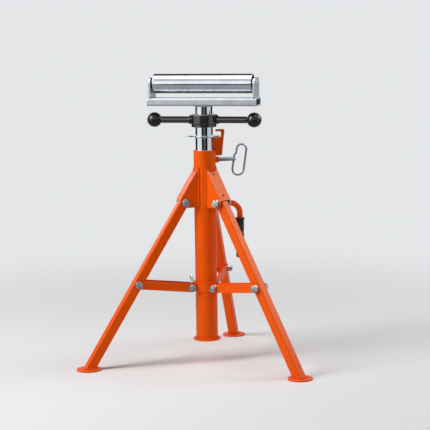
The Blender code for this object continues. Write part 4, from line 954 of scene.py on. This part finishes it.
ROLLER_RADIUS = 0.0255
ROLLER_HALF = 0.130
ROLLER_BORE = 0.0225
shell = pipe(ROLLER_RADIUS, ROLLER_BORE, -ROLLER_HALF, ROLLER_HALF, [0.0012, 0.0012, FINE, FINE], 144)
made("roller_shell_chrome", placed(LIE, shell), ground_chrome, "roller", "roller_tube")
CAP_RADIUS = ROLLER_BORE - 0.0003
CAP_BACK = CAP_FACE - 0.012
CAP_BORE = 0.0064
CAP_LIP = CAP_RADIUS - 0.003
RACE_OUTER = 0.012
RACE_INNER = 0.0105
DISH_SLOPE = 0.00125
DISH = CAP_FACE - 0.0025
RACE_GROOVE = CAP_FACE - 0.0012
for side, sign in SIDES:
    line = [(CAP_BORE, CAP_BACK), (CAP_RADIUS, CAP_BACK), (CAP_RADIUS, CAP_FACE), (CAP_LIP, CAP_FACE),
            (CAP_LIP - DISH_SLOPE, DISH), (RACE_OUTER + DISH_SLOPE, DISH), (RACE_OUTER, CAP_FACE),
            (RACE_INNER, CAP_FACE), (RACE_INNER - 0.0005, RACE_GROOVE), (0.0082, RACE_GROOVE),
            (0.0078, CAP_FACE - FINE), (CAP_BORE, CAP_FACE - FINE)]
    cap = turned(soften([(r, sign * x) for r, x in line], 0.0006, 3), 72)
    made(f"roller_cap_{side}_blacked", placed(LIE, cap), blacked_steel, "roller", f"roller_cap_{side}")

# Locking pin and its bail: round bar and bent spring wire
# The pin is zinc plated, pointed for the post's holes and cross-drilled for the bail. The bail
# is a nickel-plated wire loop, with one side kinked inwards just above the pin.

drawn_zinc = (lined_finish("zinc_plate_over_drawn_bar", ("8A8F96", "A9ADB2"), (0.24, 0.34),
                           (0.05, 0.05, 1.0), 0.8, 6e-6), "zinc")
spring_wire = (plate_finish("nickel_plated_spring_wire", ("8E9096", "A6A8AE"), (0.10, 0.18), 1.2, 4e-6,
                            20.0), "chrome")
PIN_RADIUS = 0.005
PIN_TIP = 0.0238
PIN_POINT = 0.003
PIN_END = 0.0835
BAIL_AT = 0.079
BAIL_TILT = math.radians(8.6)
BAIL_WIRE = 0.0052
BAIL_EYE = 0.0030
bail_frame = spoke(PIN_SIDE, BAIL_AT, PIN_HEIGHT) @ Matrix.Rotation(BAIL_TILT, 4, "Y")
line = [(0.0, PIN_TIP), (PIN_RADIUS - 0.0015, PIN_TIP), (PIN_RADIUS, PIN_TIP + PIN_POINT),
        (PIN_RADIUS, PIN_END), (0.0, PIN_END)]
pin = loose_piece("lock_pin_zinc", placed(PIN_LINE, lathed(line, [0.0, 0.0006, 0.001, 0.0009, 0.0])))
eye = placed(bail_frame, round_bar(BAIL_EYE, -2 * PIN_RADIUS, 2 * PIN_RADIUS))
fitted(drilled(pin, eye), drawn_zinc, "pin", "lock_pin")

BAIL_LOW = 0.0154
BAIL_KINK = 0.0045
BAIL_HIGH = BAIL_LOW - BAIL_KINK / 2
BAIL_REACH = 0.0404
bend = np.linspace(0.0, 1.0, 9)
path = np.concatenate([
    in_plane(0.0, [0.0005, 0.004, 0.0075]),
    in_plane(BAIL_KINK * bend ** 2 * (3 - 2 * bend), 0.009 + 0.008 * bend),
    arc(BAIL_KINK + BAIL_HIGH, BAIL_REACH - BAIL_HIGH, BAIL_HIGH, math.pi, 0.0, 30),
    arc(BAIL_LOW, BAIL_LOW - BAIL_REACH, BAIL_LOW, 0.0, -math.pi, 30),
    in_plane(0.0, [-0.012, -0.0005])])
made("pin_bail_chrome", placed(bail_frame, carried(disc(BAIL_WIRE, 20), path, (0.0, 1.0, 0.0))),
     spring_wire, "bail", "pin_bail")

# Sliding collar and wing screw
# A powder-coated sleeve with three pairs of sheet ears and a tapped boss; the cast wing screw is
# chrome plated and nips the collar to the column.

COLLAR_PIVOT_RADIUS = 0.043
COLLAR_PIVOT_HEIGHT = 0.141
COLLAR_HEIGHT = 0.143
CHEEK_OUTER = 0.0155
finished_copy("collar_coated", "collar_ring", 0.0005, orange_coat, "collar")
for letter, azimuth in LEG_SIDES.items():
    made(f"collar_bolt_{letter}_zinc", placed(spoke(azimuth, COLLAR_PIVOT_RADIUS, COLLAR_PIVOT_HEIGHT),
                                              *bolt_and_nut(CHEEK_OUTER)),
         blue_zinc, "collar", f"collar_bolt_{letter}")

WING_SIDE = 150.0
WING_TIP = 0.0289
WING_THREAD = 0.004
WING_START = 0.0451
WING_END = 0.0561
WING_BEND = 0.72
wing_frame = spoke(WING_SIDE, 0.0, COLLAR_HEIGHT)
boss = lathed([(0.0, WING_START), (0.007, WING_START), (0.0057, WING_END - 0.0008), (0.0049, WING_END),
               (0.0, WING_END)], [0.0, 0.001, 0.001, 0.001, 0.0])
thread = threaded_end(WING_TIP, WING_START + 0.001, WING_THREAD, 0.00125, 32)
parts = placed(wing_frame @ ALONG_X, thread, boss)
# A wing is an oval (girth cos q, thick sin q) along s. It swells, leans out, and closes past the bend.
s = np.linspace(0.0, 1.0, 26)[:, None]
q = once_round(22).T
close = np.sqrt(1.0 - np.clip((s - WING_BEND) / 0.285, 0.0, 1.0) ** 4)
girth = (0.0050 + 0.0012 * np.sin(math.pi * s ** 1.4)) * close
thick = (0.0022 - 0.0005 * s) * close
lean = WING_START + 0.0055 + 0.0052 * s ** 1.6
lift = 0.0035 + 0.0140 * s + 0.0050 * np.clip((s - WING_BEND) / 0.28, 0.0, 1.0)
for sign in (1.0, -1.0):
    oval = np.stack([lean + girth * np.cos(q), thick * np.sin(q), sign * lift + 0.0 * q], -1)
    parts += placed(wing_frame, capped(oval))
made("wing_screw_chrome", parts, bright_chrome, "wing", "wing_screw")

# Legs, foot plates and bushes
# Square tube, 25 mm with a 2 mm wall and a drawn corner, rounded over at the pivot and cut level
# at the foot, where it is welded to a round plate. All are powder coated.

LEG_HALF = 0.0125
LEG_CORNER = 0.00432
LEG_INNER_CORNER = 0.0016
LEG_WALL = 0.002
LEG_TO_LINK = 0.243
LEG_BOLT_HOLE = 0.0053
LEG_BUSH_HOLE = 0.0078
LEG_BUSH = 0.0075
FOOT_OUT = PIVOT_RADIUS + (PIVOT_HEIGHT - FLOOR) * math.tan(LEG_LEAN)
FOOT_TOP = FLOOR + 0.004
FOOT_RADIUS = 0.0315


def leg_rows(half, corner, ends):
    """Rows of a leg's wall. The crown is the half round sqrt(R^2 - out^2), and the foot is the level
    cut, whose way down the leg grows with out times the tangent of the lean."""
    out, across = rounded_box(half, half, corner, 7).T
    crown = np.sqrt(np.maximum((LEG_HALF + 0.0001) ** 2 - out ** 2, 0.0))
    level = (PIVOT_HEIGHT - FOOT_TOP - 0.0003) / math.cos(LEG_LEAN)
    foot = -(level + out * math.tan(LEG_LEAN))
    return [np.stack([out, across, foot + (crown - foot) * t], -1) for t in ends]


for letter, azimuth in LEG_SIDES.items():
    leg_line = leg_frame(azimuth)
    skin = leg_rows(LEG_HALF, LEG_CORNER, (0.0, 0.25, 0.5, 0.75, 1.0))
    core = leg_rows(LEG_HALF - LEG_WALL, LEG_INNER_CORNER, (1.0, 0.75, 0.5, 0.25, 0.0))
    wall = surface(np.stack(skin + core), True, True)
    leg = loose_piece(f"leg_{letter}_coated", placed(leg_line, wall))
    link_line = leg_line @ Matrix.Translation((0.0, 0.0, -LEG_TO_LINK)) @ ALONG_Y
    bores = placed(leg_line @ ALONG_Y, round_bar(LEG_BOLT_HOLE, -0.02, 0.02, 40))
    bores += placed(link_line, round_bar(LEG_BUSH_HOLE, -0.02, 0.02, 40))
    fitted(drilled(leg, bores), orange_coat, f"leg_{letter}", f"leg_{letter}")
    plate = [(0.0, FLOOR), (FOOT_RADIUS, FLOOR), (FOOT_RADIUS, FOOT_TOP), (0.0, FOOT_TOP)]
    side, heel = LEG_HALF + 0.0008, LEG_HALF / math.cos(LEG_LEAN) + 0.0008
    seam = rounded_box(heel, side, 0.004, 5)
    seam = np.concatenate([seam, seam[:1]])
    shift = -(FOOT_TOP - FLOOR) * math.tan(LEG_LEAN)
    seam = np.stack([seam[:, 0] + shift, seam[:, 1], np.full(len(seam), FOOT_TOP + 0.0010)], -1)
    parts = placed(spoke(azimuth, FOOT_OUT), lathed(plate, [0.0, 0.0009, 0.0012, 0.0], 96),
                   weld_bead(seam, (0.0, 0.0, 1.0), 0.0042))
    made(f"foot_{letter}_coated", parts, orange_coat, f"leg_{letter}", f"foot_{letter}")
    bush = pipe(LEG_BUSH, LEG_BOLT_HOLE, -LEG_HALF - 0.0002, LEG_HALF + 0.0002, FINE, 48)
    made(f"leg_bush_{letter}_zinc", placed(link_line, bush), blue_zinc, f"leg_{letter}",
         f"leg_bush_{letter}")

# Links: folded channel of 2.6 mm sheet from the collar to each leg, powder coated
# Their outer bolts are parted at the shear planes, because that pivot is left open; the head end
# and the nut end both go with the link.

CHEEK_INNER = 0.0129
LINK_OUT = PIVOT_RADIUS + LEG_TO_LINK * math.sin(LEG_LEAN)
LINK_UP = PIVOT_HEIGHT - LEG_TO_LINK * math.cos(LEG_LEAN)
LINK_LEAN = math.atan2(LINK_UP - COLLAR_PIVOT_HEIGHT, LINK_OUT - COLLAR_PIVOT_RADIUS)
for letter, azimuth in LEG_SIDES.items():
    body = f"link_{letter}"
    finished_copy(f"link_{letter}_coated", f"link_{letter}", 0.0006, orange_coat, body)
    outer_pivot = spoke(azimuth, LINK_OUT, LINK_UP) @ Matrix.Rotation(-LINK_LEAN, 4, "Y")
    for part, nut in (("bolt", False), ("nut", True)):
        made(f"link_{part}_{letter}_zinc", placed(outer_pivot, *bolt_end(CHEEK_OUTER, CHEEK_INNER, nut)),
             blue_zinc, body, f"link_{part}_{letter}")

# View transform

bpy.context.scene.view_settings.view_transform = "Standard"
